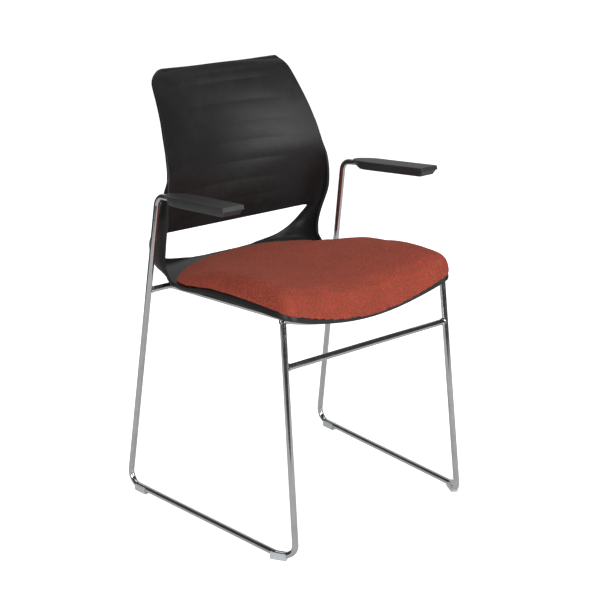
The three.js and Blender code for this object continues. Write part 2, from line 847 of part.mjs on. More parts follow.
const tabs = [
  ['front', tabFrame(frontTabShare)],
  ['rear', tabFrame(rearTabShare)],
];
const sidesOfChair = [
  ['left', 1],
  ['right', -1],
];
const padScrews = padScrewShares.flatMap(([acrossShare, depthShare]) => sidesOfChair.map(([, sign]) => {
  const x = sign * half * acrossShare;
  const y = seatDepth * depthShare;
  return { x, y, z: underSeat(x, y) };
}));

const bosses = tabs.flatMap(([, { hole, top }]) => sidesOfChair.map(([, sign]) => {
  const x = sign * hole.x;
  const shellTop = seatAt(hole.x, hole.y).z - shellThickness / 2;
  return upright(bossDiameter / 2, top + gap, shellTop, x, hole.y);
}));
const shellHoles = tabs.flatMap(([, { hole, top }]) => sidesOfChair.map(([, sign]) =>
  upright(seatScrewDiameter / 2 + gap, top - overrun, top + bossReach, sign * hole.x, hole.y)));
const padHoles = padScrews.map(({ x, y, z }) =>
  upright(padScrewDiameter / 2 + gap, z - overrun, z + shellThickness + overrun, x, y));
add('seat_back_shell', cut(join(shellSkin(), bosses), [...shellHoles, ...padHoles]), 'shell');

add('seat_cushion', seatPad(), 'fabric');
add('seat_pad_board', seatBoard(), 'board');

function bothHands(name, geometry, material) {
  add(`${name}_left`, geometry, material);
  add(`${name}_right`, mirrored(geometry), material);
}

const frontBarEnd = vec(half - legTopInset, legTopSetback, frontBarEndZ);
const frontBarMiddle = vec(0, legTopSetback - frontBarSag, frontBarEndZ - 2 * frontBarDip);
const frontBarPath = new THREE.QuadraticBezierCurve3(
  frontBarEnd.clone().multiply(vec(-1, 1, 1)),
  frontBarMiddle,
  frontBarEnd,
);
const frontBarSteps = 12;
add('front_seat_bar', rod(frontBarPath, rodRadius, frontBarSteps), 'chrome');

const legCope = rod(frontBarPath, rodRadius + gap, frontBarSteps);
bothHands('side_frame', cut(rod(sidePath, rodRadius), [...armScrewHoles(), legCope]), 'chrome');
bothHands('seat_rail', straightRod(railFront, railRear), 'chrome');

function crossBar(end) {
  const stop = end.clone().sub(vec(rodRadius + gap, 0, 0));
  return straightRod(stop.clone().multiply(vec(-1, 1, 1)), stop);
}

add('front_cross_bar', crossBar(stretcherEnd), 'chrome');
add('rear_cross_bar', crossBar(rearBarEnd), 'chrome');

tabs.forEach(([place, frame]) => {
  bothHands(`seat_tab_${place}`, tab(frame), 'chrome');
  const bottom = frame.top - tabThickness - gap;
  const end = seatAt(frame.hole.x, frame.hole.y).z - gap;
  const fastener = screw(seatScrewDiameter, end - bottom);
  fastener.translate(frame.hole.x, frame.hole.y, bottom);
  bothHands(`seat_screw_${place}`, fastener, 'steel');
});

padScrewShares.forEach(([, depthShare], i) => {
  const { x, y, z } = padScrews[2 * i];
  const headGap = 2 * gap;
  const fastener = screw(padScrewDiameter, headGap + shellThickness + seatGap + padScrewBite);
  fastener.translate(x, y, z - headGap);
  bothHands(`pad_screw_${i === 0 ? 'front' : 'rear'}`, fastener, 'steel');
});

bothHands('arm_pad', armPad(), 'pad');
armScrewShares.forEach((share, i) => {
  const seat = -armPadBottom - gap;
  const fastener = screw(armScrewDiameter, rodRadius - 3 * gap - seat);
  const turn = new THREE.Matrix4().makeBasis(armSide, armForward.clone().negate(), armUp);
  fastener.applyMatrix4(turn);
  fastener.translate(...armPoint(armPadLength * share, 0, seat));
  bothHands(`arm_screw_${i === 0 ? 'rear' : 'front'}`, fastener, 'steel');
});

const frontSeat = along(kink, frontFoot, frontGlideOffset);
const rearSeat = along(rearFoot, kink, rearGlideOffset);
bothHands('glide_front', glide(frontSeat.centre, frontSeat.direction), 'glide');
bothHands('glide_rear', glide(rearSeat.centre, rearSeat.direction), 'glide');

// The origin is the middle of the footprint, on the floor
const box = new THREE.Box3().setFromObject(chair);
const footprint = box.getCenter(new THREE.Vector3());
chair.position.set(-footprint.x, -footprint.y, -box.min.z);

export default chair;
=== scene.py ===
import math

import bmesh
import bpy
import numpy as np
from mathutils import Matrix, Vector


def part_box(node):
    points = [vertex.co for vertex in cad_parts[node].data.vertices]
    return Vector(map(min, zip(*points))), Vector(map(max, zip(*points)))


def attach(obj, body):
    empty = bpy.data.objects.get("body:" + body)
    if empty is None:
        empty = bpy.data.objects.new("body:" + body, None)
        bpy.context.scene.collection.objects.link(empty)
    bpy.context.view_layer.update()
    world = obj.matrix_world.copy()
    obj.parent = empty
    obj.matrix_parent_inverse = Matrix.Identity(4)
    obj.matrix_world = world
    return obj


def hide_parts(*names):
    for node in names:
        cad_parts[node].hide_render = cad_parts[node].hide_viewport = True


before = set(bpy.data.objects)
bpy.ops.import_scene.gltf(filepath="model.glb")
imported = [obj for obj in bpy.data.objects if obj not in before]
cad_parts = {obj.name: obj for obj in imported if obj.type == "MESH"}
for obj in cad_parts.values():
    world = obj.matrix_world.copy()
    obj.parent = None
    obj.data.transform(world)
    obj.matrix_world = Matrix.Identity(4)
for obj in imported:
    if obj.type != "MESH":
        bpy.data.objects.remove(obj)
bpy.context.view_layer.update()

# The shapes are worked out in millimetres with y = 0 at the front edge of the seat, as the solids
# are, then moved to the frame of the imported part, in metres.
MM = 0.001
PART_SHIFT = np.array([0.0, -217.522, 0.0])
BODY = "root"

# Shell, as in the solids
SEAT_WIDTH = 428.0
SEAT_DEPTH = 454.0
SEAT_HEIGHT = 437.0
BACK_HEIGHT = 401.0
SHELL_THICKNESS = 4.0
RIM_BEAD = 1.5
LIP_HEIGHT = 8.0
RIM_ROUND = 1.2
SLAT_LINES = 7
SLAT_PITCH = 39.35
SLAT_START = 123.5
SLAT_CROWN = 1.2
SLAT_FADE = (0.35, 0.85)
HALF = SEAT_WIDTH / 2

# Shell, only here: how far the seat's rear edge is turned upright and where that fades out across,
# the steps between rows, the columns from the middle to the slot's end and from there to the edge,
# and how much closer the outer ones stand in a bend
REAR_EDGE_TILT = 0.15
REAR_EDGE_FADE = (0.3, 0.8)
SEAT_ROW_STEP = 8.0
BACK_ROW_STEP = 2.2
INNER_COLUMNS = 16
OUTER_COLUMNS = 26
TURN_WEIGHT = 22.0

# Rods, as in the solids
ROD = 6.0
ARM_HEIGHT = 619.0
ARM_SETBACK = 110.0
ARM_OVERHANG = 19.8
ARM_ROD_LENGTH = 155.0
ARM_ROD_RISE = 11.4
ARM_ROD_SPLAY = 5.4
REAR_FOOT_SETBACK = 13.7
REAR_FOOT_OVERHANG = 41.5
KINK_SETBACK = 8.0
KINK_OVERHANG = 17.0
FRONT_FOOT_REACH = 26.0
FRONT_FOOT_INSET = 2.0
LEG_TOP_SETBACK = 22.0
LEG_TOP_INSET = 13.5
BEND_RADII = (24.0, 25.0, 20.0, 20.0)
RAIL_FRONT_INSET = 16.0
RAIL_REAR_INSET = 26.0
RAIL_CLEARANCE = 1.0
REAR_BAR_CLEARANCE = 3.0
FRONT_BAR_DROP = 3.5
FRONT_BAR_DIP = 29.5
FRONT_BAR_SAG = 5.0
STRETCHER_DROP = 75.0
GLIDE_SOLE = 4.6

# Rods, only here: broken edge of a rod's end, how near a rod comes to the middle line of the rod
# that it is welded to, and the weld beads
ROD_SIDES = 32
END_BREAK = 0.8
BAR_END_BREAK = 0.1
WELD_INSET = 0.5 * ROD
LEG_INSET = 0.6 * ROD
BEAD_RADIUS = 1.3
BEAD_RIPPLE = 0.15
BEAD_WAVES = 9
LUG_BEAD_RADIUS = 1.1
LUG_BEAD_RIPPLE = 0.12
LUG_BEAD_REACH = 11.5

# Lugs in millimetres and the shell's bosses in metres, as in the solids; the last two only here
LUG_SHARES = (0.12, 0.8)
LUG_RISE = 1.5
LUG_THICKNESS = 3.0
BOSS_RADIUS = 0.0075
BOSS_BORE = 0.0033
BOSS_GAP = 0.0003
BOSS_DEPTH = 0.0017
BOSS_EDGE = 0.0006
BOSS_FOOT = 0.0015

# Arm pads, as in the solids
PAD_LENGTH = 204.0
PAD_WIDTH = 47.0
PAD_TOP = 8.8
PAD_BOTTOM = 8.8
PAD_TAIL = 37.0

# Arm pads, only here: broken top edge, rounded lower edge, lean of the sides and crown of the top
PAD_EDGE = 1.3
PAD_HEEL = 2.4
PAD_LEAN = 3.0
PAD_CROWN = 0.5

# Broken edges of glides and lugs, in metres
GLIDE_BREAK = 0.0009
LUG_BREAK = 0.0005

# Screws, as in the solids, as shares of the diameter, with a recess as a share of the radius
HEAD_WIDTH = 1.8
HEAD_HEIGHT = 0.6
RECESS = 0.5

# Seat cushion: a little fuller than its solid, pulled over the rim at the front and bulging.
# It lies between two stations of the seat; a roll is a squareness and a roundness.
CUSHION_THICKNESS = 41.5
CUSHION_EDGE = 3.0
CUSHION_CROWN = 2.5
CUSHION_BULGE = 5.0
CUSHION_WRAP = 3.5
CUSHION_FRONT = 0.2
CUSHION_REAR = 9.72
CUSHION_REAR_BOW = 0.95
CUSHION_WIDTH = 0.993
CUSHION_SIDE_ROLL = (18, 2.9)
CUSHION_FRONT_ROLL = (8, 2.15)
CUSHION_REAR_ROLL = (6, 2.2)
CUSHION_TAPER = 0.53
CUSHION_TAPER_START = 0.38
CUSHION_NOSE = 0.07
SEAT_GAP = 0.8

# Cloth run of the cushion: voxels and the cap in metres. Points are held whose normal has its z
# below CLOTH_HELD.
CUSHION_VOXEL = 0.0045
CLOTH_FRAMES = 20
CLOTH_HELD = -0.35
CLOTH_MASS = 0.3
CLOTH_PRESSURE = 3.0
CLOTH_CAP = 0.003

# Studio and camera, in metres and watts. The paper lies under the object and rises behind it, away
# from the camera.
PAPER_AWAY = np.array([0.652, 0.758])
PAPER_GLOW = 0.42
PAPER_FRONT = 1.15
PAPER_RISE = 1.6
PAPER_BEND = 0.7
PAPER_TOP = 3.4
PAPER_HALF_WIDTH = 1.7
FLOOR_RADIUS = 19.5
BACKDROP_RADIUS = 20.0
WORLD_STRENGTH = 0.06
LIGHTS = (
    # name, place, target, size, power
    ("key", (0.6, -3.0, 1.2), (0, 0, 0.6), (1.6, 1.9), 67),
    ("side", (-2.7, -1.3, 0.9), (0, 0, 0.4), (1.0, 1.2), 46),
    ("top", (0.0, 0.3, 3.2), (0, 0, 0.3), (2.2, 2.2), 33),
)
CAMERA_PLACE = (-1.7459, -2.0383, 1.2586)
CAMERA_AZIMUTH = math.radians(-40.7)
CAMERA_ELEVATION = math.radians(17.8)
CAMERA_LENS = 86.79
CAMERA_SENSOR = 36.0

# Shell stations, all shares. They follow the solids', with a smoother slot and rounder upper
# corners of the back.
CENTRE_Y, CENTRE_Z, EDGE_X, EDGE_Y, EDGE_Z, BOW, SQUARE, OUTER_START, LIP, FLARE = range(10)
STATIONS = np.array([
    # seat
    [0.007, -0.037, 0.869, 0.004, 0.051, 1, 4, 0.45, 0.56, 0],
    [0.015, -0.021, 0.935, 0.013, 0.06, 1, 4, 0.45, 0.6, 0],
    [0.032, -0.01, 0.965, 0.037, 0.069, 1, 4, 0.45, 0.8, 0],
    [0.081, 0.004, 0.986, 0.088, 0.076, 1, 4, 0.45, 1, 0],
    [0.229, 0.01, 1, 0.231, 0.077, 1, 4, 0.45, 0.88, 0],
    [0.383, 0.007, 1, 0.361, 0.069, 1, 4, 0.45, 0.75, 0],
    [0.537, 0.006, 0.998, 0.482, 0.06, 1, 4, 0.45, 0.63, 0],
    [0.681, 0.007, 0.991, 0.597, 0.037, 1, 4, 0.45, 0.5, 0],
    [0.791, 0.011, 0.974, 0.689, 0.02, 1, 4, 0.45, 0.38, 0],
    [0.89, 0.016, 0.946, 0.758, 0.016, 0.9, 4, 0.42, 0.25, 0],
    [0.956, 0.02, 0.918, 0.8, 0.025, 0.5, 4.5, 0.36, 0.13, 0],
    # slot and struts
    [1, 0.022, 0.909, 0.832, 0.059, 0, 5, 0.36, 0.04, 0],
    [0.9995, 0.041, 0.904, 0.837, 0.075, 0, 7, 0.72, 0, 0.02],
    [0.994, 0.094, 0.902, 0.84, 0.117, 0, 14, 0.908, 0, 0.05],
    [0.989, 0.127, 0.902, 0.836, 0.152, 0.05, 17, 0.951, 0, 0.065],
    [0.987, 0.16, 0.908, 0.827, 0.195, 0.15, 18, 0.957, 0, 0.07],
    [0.985, 0.18, 0.918, 0.813, 0.244, 0.28, 19, 0.963, 0, 0.065],
    # back
    [0.965, 0.227, 0.925, 0.801, 0.279, 0.28, 19, 0.94, 0, 0.055],
    [0.943, 0.282, 0.932, 0.79, 0.317, 0.28, 18, 0.9, 0, 0.045],
    [0.926, 0.337, 0.935, 0.784, 0.354, 0.32, 16, 0.85, 0, 0.035],
    [0.911, 0.426, 0.926, 0.781, 0.431, 0.55, 15, 0.8, 0, 0.025],
    [0.907, 0.526, 0.909, 0.789, 0.526, 0.86, 11, 0.72, 0, 0],
    [0.913, 0.616, 0.894, 0.813, 0.61, 1, 6, 0.66, 0, 0],
    [0.925, 0.701, 0.874, 0.843, 0.692, 1, 4, 0.62, 0, 0],
    [0.943, 0.783, 0.848, 0.878, 0.772, 1, 4, 0.6, 0, 0],
    [0.965, 0.86, 0.822, 0.922, 0.852, 1, 4, 0.6, 0, 0],
    [0.983, 0.913, 0.803, 0.958, 0.91, 1, 4, 0.6, 0, 0],
    [0.996, 0.938, 0.787, 0.975, 0.937, 1, 4, 0.6, 0, 0],
    [1.003, 0.957, 0.758, 0.986, 0.957, 1, 4, 0.6, 0, 0],
    [1.009, 0.973, 0.713, 0.991, 0.973, 1, 4, 0.6, 0, 0],
    [1.012, 0.985, 0.645, 0.989, 0.981, 1, 4, 0.6, 0, 0],
])
LAST = len(STATIONS) - 1
SLOT_START = 11
SLOT_END = 16
SLOT_CORNER = 0.02
# Edge of the slot, every quarter of a station from its start to its end
SLOT_EDGE = np.array([
    0.22, 0.4, 0.48, 0.56, 0.65, 0.75, 0.82, 0.868, 0.897, 0.913, 0.923,
    0.93, 0.935, 0.94, 0.945, 0.949, 0.953, 0.955, 0.957, 0.958, 0.959,
])


# Helpers

def to_part(points):
    return (np.asarray(points, float) + PART_SHIFT) * MM


def placed(name, data):
    """A new object in the scene."""
    obj = bpy.data.objects.new(name, data)
    bpy.context.scene.collection.objects.link(obj)
    return obj


def finish_piece(obj, material, node, sharp=40.0):
    """Shades a piece, gives it its finish, says what it rides on and hides the solid that it stands
    for.
    """
    obj.data.materials.clear()
    obj.data.materials.append(material)
    obj.data.shade_smooth()
    obj.data.set_sharp_from_angle(angle=math.radians(sharp))
    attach(obj, BODY)
    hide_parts(node)


def new_object(name, points, faces):
    """A mesh object from points in metres, with its faces turned outwards."""
    mesh = bpy.data.meshes.new(name)
    mesh.from_pydata([tuple(p) for p in points], [], [tuple(f) for f in faces])
    work = bmesh.new()
    work.from_mesh(mesh)
    bmesh.ops.remove_doubles(work, verts=work.verts, dist=1e-6)
    bmesh.ops.recalc_face_normals(work, faces=work.faces)
    work.to_mesh(mesh)
    work.free()
    return placed(name, mesh)


def unit(v):
    v = np.asarray(v, float)
    return v / np.linalg.norm(v, axis=-1, keepdims=True)


def smoothstep(value, low, high):
    t = np.clip((value - low) / (high - low), 0, 1)
    return t * t * (3 - 2 * t)


def mirrored(points):
    return np.asarray(points, float) * np.array([-1.0, 1.0, 1.0])


# Materials

class Nodes:
    """Builds one procedural material."""

    def __init__(self, name):
        self.material = bpy.data.materials.new(name)
        self.material.use_nodes = True
        self.tree = self.material.node_tree
        self.bsdf = self.tree.nodes["Principled BSDF"]
        self.place = self.tree.nodes.new("ShaderNodeTexCoord").outputs["Object"]

    def put(self, value, socket):
        """Links an output to a socket, or sets the socket to a number or a colour."""
        if isinstance(value, bpy.types.NodeSocket):
            self.tree.links.new(value, socket)
        else:
            socket.default_value = (*value, 1.0) if isinstance(value, tuple) else value

    def set(self, **values):
        for key, value in values.items():
            self.bsdf.inputs[key.replace("_", " ")].default_value = value

    def noise(self, scale, detail=2.0, rough=0.5, stretch=None):
        node = self.tree.nodes.new("ShaderNodeTexNoise")
        node.inputs["Scale"].default_value = scale
        node.inputs["Detail"].default_value = detail
        node.inputs["Roughness"].default_value = rough
        source = self.place
        if stretch:
            mapping = self.tree.nodes.new("ShaderNodeMapping")
            mapping.inputs["Scale"].default_value = stretch
            self.put(self.place, mapping.inputs["Vector"])
            source = mapping.outputs["Vector"]
        self.put(source, node.inputs["Vector"])
        return node.outputs["Fac"]

    def math(self, operation, a, b=0.0):
        node = self.tree.nodes.new("ShaderNodeMath")
        node.operation = operation
        for socket, value in zip(node.inputs, (a, b)):
            self.put(value, socket)
        return node.outputs[0]

    def split(self, vector):
        """The x, y and z of a vector."""
        node = self.tree.nodes.new("ShaderNodeSeparateXYZ")
        self.put(vector, node.inputs[0])
        return node.outputs

    def ramp(self, source, stops):
        node = self.tree.nodes.new("ShaderNodeValToRGB")
        elements = node.color_ramp.elements
        while len(elements) < len(stops):
            elements.new(0.5)
        for element, (place, color) in zip(elements, stops):
            element.position = place
            rgb = color if isinstance(color, tuple) else (color, color, color)
            element.color = (*rgb, 1.0)
        self.put(source, node.inputs["Fac"])
        return node.outputs["Color"]

    def span(self, source, low, high):
        """Maps 0..1 onto low..high."""
        node = self.tree.nodes.new("ShaderNodeMapRange")
        node.inputs["To Min"].default_value = low
        node.inputs["To Max"].default_value = high
        self.put(source, node.inputs["Value"])
        return node.outputs["Result"]

    def mix(self, factor, a, b, blend="MIX"):
        """Mixes two colours. The node's sockets share their names, so they go by number."""
        node = self.tree.nodes.new("ShaderNodeMix")
        node.data_type = "RGBA"
        node.blend_type = blend
        for index, value in ((0, factor), (6, a), (7, b)):
            self.put(value, node.inputs[index])
        return node.outputs[2]

    def bump(self, height, strength, distance):
        node = self.tree.nodes.new("ShaderNodeBump")
        node.inputs["Strength"].default_value = strength
        node.inputs["Distance"].default_value = distance
        self.put(height, node.inputs["Height"])
        return node.outputs["Normal"]

    def use(self, **sources):
        for key, source in sources.items():
            self.put(source, self.bsdf.inputs[key.replace("_", " ")])
        return self.material


def plastic(name, color, rough, grain, cell, specular=0.5):
    """Moulded plastic: fine grain, cloudy gloss and faint rubbed places."""
    n = Nodes(name)
    n.set(Specular_IOR_Level=specular)
    clouds = n.noise(9.0, 3.0)
    rubbed = n.noise(55.0, 4.0, 0.65)
    fine = n.noise(1.0 / cell, 2.0, 0.6)
    lighter = tuple(min(1.0, c * 1.35 + 0.004) for c in color)
    wear = n.ramp(n.math("MULTIPLY", clouds, rubbed), [(0.16, 0.0), (0.42, 1.0)])
    base = n.mix(wear, color, lighter)
    uneven = n.math("ADD", n.math("MULTIPLY", clouds, 0.6), n.math("MULTIPLY", fine, 0.4))
    gloss = n.span(uneven, rough - 0.07, rough + 0.07)
    return n.use(Base_Color=base, Roughness=gloss, Normal=n.bump(fine, grain, cell * 0.5))


def chrome_plate():
    """Bright plated rod: faint drawing marks along it and fine haze."""
    n = Nodes("chrome_plate")
    n.set(Metallic=1.0)
    haze = n.noise(38.0, 4.0, 0.6)
    marks = n.noise(900.0, 1.0)
    hazy = n.ramp(haze, [(0.3, 0.0), (0.75, 1.0)])
    base = n.mix(hazy, (0.5, 0.5, 0.51), (0.6, 0.597, 0.592))
    gloss = n.span(n.math("MULTIPLY", haze, n.math("ADD", marks, 0.5)), 0.05, 0.2)
    return n.use(Base_Color=base, Roughness=gloss, Normal=n.bump(marks, 0.04, 0.0001))


def zinc_steel():
    """Zinc plated screws, spotted."""
    n = Nodes("zinc_steel")
    n.set(Metallic=1.0)
    spots = n.noise(600.0, 3.0)
    base = n.mix(spots, (0.42, 0.43, 0.44), (0.62, 0.62, 0.6))
    gloss = n.span(spots, 0.25, 0.5)
    return n.use(Base_Color=base, Roughness=gloss, Normal=n.bump(spots, 0.1, 0.0001))


def nylon():
    """Translucent grey nylon of the glides, scuffed."""
    n = Nodes("glide_nylon")
    n.set(Subsurface_Weight=0.25, Subsurface_Scale=0.004)
    clouds = n.noise(160.0, 4.0, 0.6)
    fine = n.noise(2200.0, 2.0)
    base = n.mix(clouds, (0.42, 0.43, 0.44), (0.62, 0.63, 0.64))
    gloss = n.span(clouds, 0.35, 0.55)
    return n.use(Base_Color=base, Roughness=gloss, Normal=n.bump(fine, 0.15, 0.0002))


WEAVE_PITCH = 0.0019


def melange():
    """Woven melange upholstery: two sets of mixed yarns that cross, on all three planes."""
    n = Nodes("melange_weave")
    turns = 2 * math.pi / WEAVE_PITCH
    waves = [n.math("SINE", n.math("MULTIPLY", axis, turns)) for axis in n.split(n.place)]
    geometry = n.tree.nodes.new("ShaderNodeNewGeometry")
    facing = n.split(geometry.outputs["Normal"])
    weights = [n.math("POWER", n.math("ABSOLUTE", side), 3.0) for side in facing]
    planes = [n.math("MULTIPLY", waves[a], waves[b]) for a, b in ((1, 2), (0, 2), (0, 1))]
    parts = [n.math("MULTIPLY", plane, weight) for plane, weight in zip(planes, weights)]
    weave = n.math("ADD", n.math("ADD", parts[0], parts[1]), parts[2])
    raised = n.span(weave, 0.5, 1.0)

    yarn_x = n.noise(1.0, 3.0, 0.7, stretch=(260.0, 1500.0, 1500.0))
    yarn_y = n.noise(1.0, 3.0, 0.7, stretch=(1500.0, 260.0, 700.0))
    over = n.ramp(raised, [(0.46, 0.0), (0.54, 1.0)])
    yarn = n.mix(over, yarn_x, yarn_y)
    flecks = n.noise(330.0, 3.0, 0.7)
    red = n.ramp(yarn, [
        (0.3, (0.135, 0.022, 0.018)),
        (0.46, (0.33, 0.042, 0.03)),
        (0.56, (0.55, 0.076, 0.044)),
        (0.7, (0.8, 0.15, 0.085)),
    ])
    brown = n.ramp(yarn, [
        (0.3, (0.085, 0.026, 0.018)),
        (0.46, (0.22, 0.056, 0.034)),
        (0.56, (0.37, 0.095, 0.054)),
        (0.7, (0.56, 0.18, 0.1)),
    ])
    color = n.mix(n.ramp(flecks, [(0.42, 0.0), (0.58, 1.0)]), brown, red)
    patches = n.noise(26.0, 3.0)
    shade = n.ramp(patches, [(0.3, (0.88, 0.9, 0.9)), (0.7, (1.0, 1.0, 1.0))])
    shaded = n.mix(1.0, color, shade, "MULTIPLY")

    fuzz = n.noise(2600.0, 2.0, 0.7)
    height = n.math("ADD", n.math("MULTIPLY", raised, 0.7), n.math("MULTIPLY", fuzz, 0.3))
    n.set(Roughness=0.92, Specular_IOR_Level=0.2)
    n.set(Sheen_Weight=0.12, Sheen_Roughness=0.4, Sheen_Tint=(1.0, 0.4, 0.28, 1.0))
    return n.use(Base_Color=shaded, Normal=n.bump(height, 0.55, 0.0007))


SHELL_FINISH = plastic(
    "shell_plastic", (0.012, 0.012, 0.0125), rough=0.48, grain=0.16, cell=0.0006, specular=0.35)
PAD_FINISH = plastic(
    "arm_pad_plastic", (0.026, 0.026, 0.028), rough=0.5, grain=0.22, cell=0.0005, specular=0.42)
BOARD_FINISH = plastic("board_plastic", (0.012, 0.012, 0.012), rough=0.6, grain=0.2, cell=0.0008)
CHROME_FINISH = chrome_plate()
STEEL_FINISH = zinc_steel()
GLIDE_FINISH = nylon()
FABRIC_FINISH = melange()


# Shell surface

def smooth_through(table, index, t):
    """A value between two rows of a table, smooth through its rows."""
    p, q, r, s = (table[np.clip(index + k, 0, len(table) - 1)] for k in (-1, 0, 1, 2))
    return q + 0.5 * t * (r - p + t * (2 * p - 5 * q + 4 * r - s + t * (3 * (q - r) + s - p)))


def along(column, u):
    """A column of the stations at u."""
    index = np.clip(np.floor(u).astype(int), 0, LAST - 1)
    return smooth_through(STATIONS[:, column], index, u - index)


def surface(u, across):
    """Points of the sitter's side: u runs over the stations, across from -1 (right) to 1 (left).
    The seat's rear edge is kept from leaning over the slot."""
    u, across = np.broadcast_arrays(np.asarray(u, float), np.asarray(across, float))
    centre_y = SEAT_DEPTH * along(CENTRE_Y, u)
    centre_y = np.where(u < SLOT_START + 1, np.minimum(centre_y, SEAT_DEPTH), centre_y)
    centre_z = SEAT_HEIGHT + BACK_HEIGHT * along(CENTRE_Z, u)
    edge_x = HALF * along(EDGE_X, u)
    edge_y = SEAT_DEPTH * along(EDGE_Y, u)
    edge_z = SEAT_HEIGHT + BACK_HEIGHT * along(EDGE_Z, u)
    bow, square = along(BOW, u), along(SQUARE, u)
    wing = 1 - np.sqrt(np.maximum(0, 1 - np.abs(across) ** square))
    rise = bow * across * across + (1 - bow) * wing
    flare = 4 * along(FLARE, u) * wing * (1 - wing)
    return np.stack([
        edge_x * across * (1 + flare),
        centre_y + (edge_y - centre_y) * rise,
        centre_z + (edge_z - centre_z) * rise,
    ], axis=-1)


def surface_normal(u, across):
    """Unit normals of the sitter's side."""
    u, across = np.broadcast_arrays(np.asarray(u, float), np.asarray(across, float))
    du, dx = 0.02, 0.004
    run = surface(np.minimum(u + du, LAST), across) - surface(np.maximum(u - du, 0), across)
    over = surface(u, np.minimum(across + dx, 1)) - surface(u, np.maximum(across - dx, -1))
    return unit(np.cross(over, run))


def slat_offset(u, across):
    """The soft slats across the back stand forward in a low crown between sharp valleys."""
    height = BACK_HEIGHT * along(CENTRE_Z, u) - SLAT_START
    place = height / SLAT_PITCH
    line = np.clip(np.round(place), 0, SLAT_LINES - 1)
    away = np.abs(place - line)
    crown = 1 - (1 - 2 * np.minimum(away, 0.5)) ** 2
    beyond = np.maximum(away - 0.5, 0)
    crown = np.where(beyond > 0, 1 - smoothstep(beyond, 0, 0.5), crown)
    fade = 1 - smoothstep(np.abs(across), *SLAT_FADE)
    return SLAT_CROWN * crown * fade * (u >= SLOT_END)


def row_stations():
    """Station numbers of the rows: close together on the back, wider under the cushion."""
    rows = [0.0]
    for station in range(LAST):
        ends = np.array([station, station + 1.0])
        runs = [np.diff(surface(ends, across), axis=0) for across in (0.0, 1.0)]
        length = max(np.linalg.norm(run) for run in runs)
        step = BACK_ROW_STEP if station >= SLOT_START else SEAT_ROW_STEP
        count = max(2, math.ceil(length / step))
        rows += [station + (k + 1) / count for k in range(count)]
    return np.array(rows)


def slot_edge(u):
    """The share across where the slot ends."""
    quarter = 4 * (u - SLOT_START)
    index = int(np.clip(math.floor(quarter), 0, len(SLOT_EDGE) - 2))
    return smooth_through(SLOT_EDGE, index, quarter - index)


def row_places(u):
    """Places from the middle to the edge: even at first, then spaced by length and by turn."""
    start, square = float(along(OUTER_START, np.array(u))), float(along(SQUARE, np.array(u)))
    if SLOT_START <= u <= SLOT_END:
        start = slot_edge(u)
    if SLOT_END - 1 < u <= SLOT_END:
        start -= SLOT_CORNER * (1 - math.sqrt(max(0.0, 1 - (u - SLOT_END + 1) ** 6)))
    first = math.asin(start ** (square / 2))
    angles = np.linspace(first, math.pi / 2, 160)
    places = np.sin(angles) ** (2 / square)
    points = surface(u, places)
    runs = np.diff(points, axis=0)
    lengths = np.linalg.norm(runs, axis=1)
    units = runs / np.maximum(lengths, 1e-9)[:, None]
    turns = np.arccos(np.clip((units[1:] * units[:-1]).sum(1), -1, 1))
    weighted = lengths + TURN_WEIGHT * np.concatenate([[0], turns])
    travelled = np.concatenate([[0], np.cumsum(weighted)])
    goals = np.linspace(0, travelled[-1], OUTER_COLUMNS + 1)
    inner = start * np.arange(INNER_COLUMNS) / INNER_COLUMNS
    return np.concatenate([inner, np.interp(goals, travelled, places)])


def rim_profile():
    """The rim from the front face to the rear one: outward, depth, and 1 where the lip adds."""
    depth = SHELL_THICKNESS + RIM_BEAD
    r = RIM_ROUND
    turn = [math.radians(a) for a in (30, 60, 90)]
    rings = [(r * (math.sin(a) - 1), r * (1 - math.cos(a)), 0) for a in turn]
    rings += [(r * (math.cos(a) - 1), depth - r * (1 - math.sin(a)), 1) for a in [0] + turn]
    inner = -SHELL_THICKNESS
    rings += [
        (inner + r * (1 - math.sin(a)), depth - r * (1 - math.cos(a)), 1) for a in [0] + turn]
    rings += [(inner, SHELL_THICKNESS, 0)]
    return rings


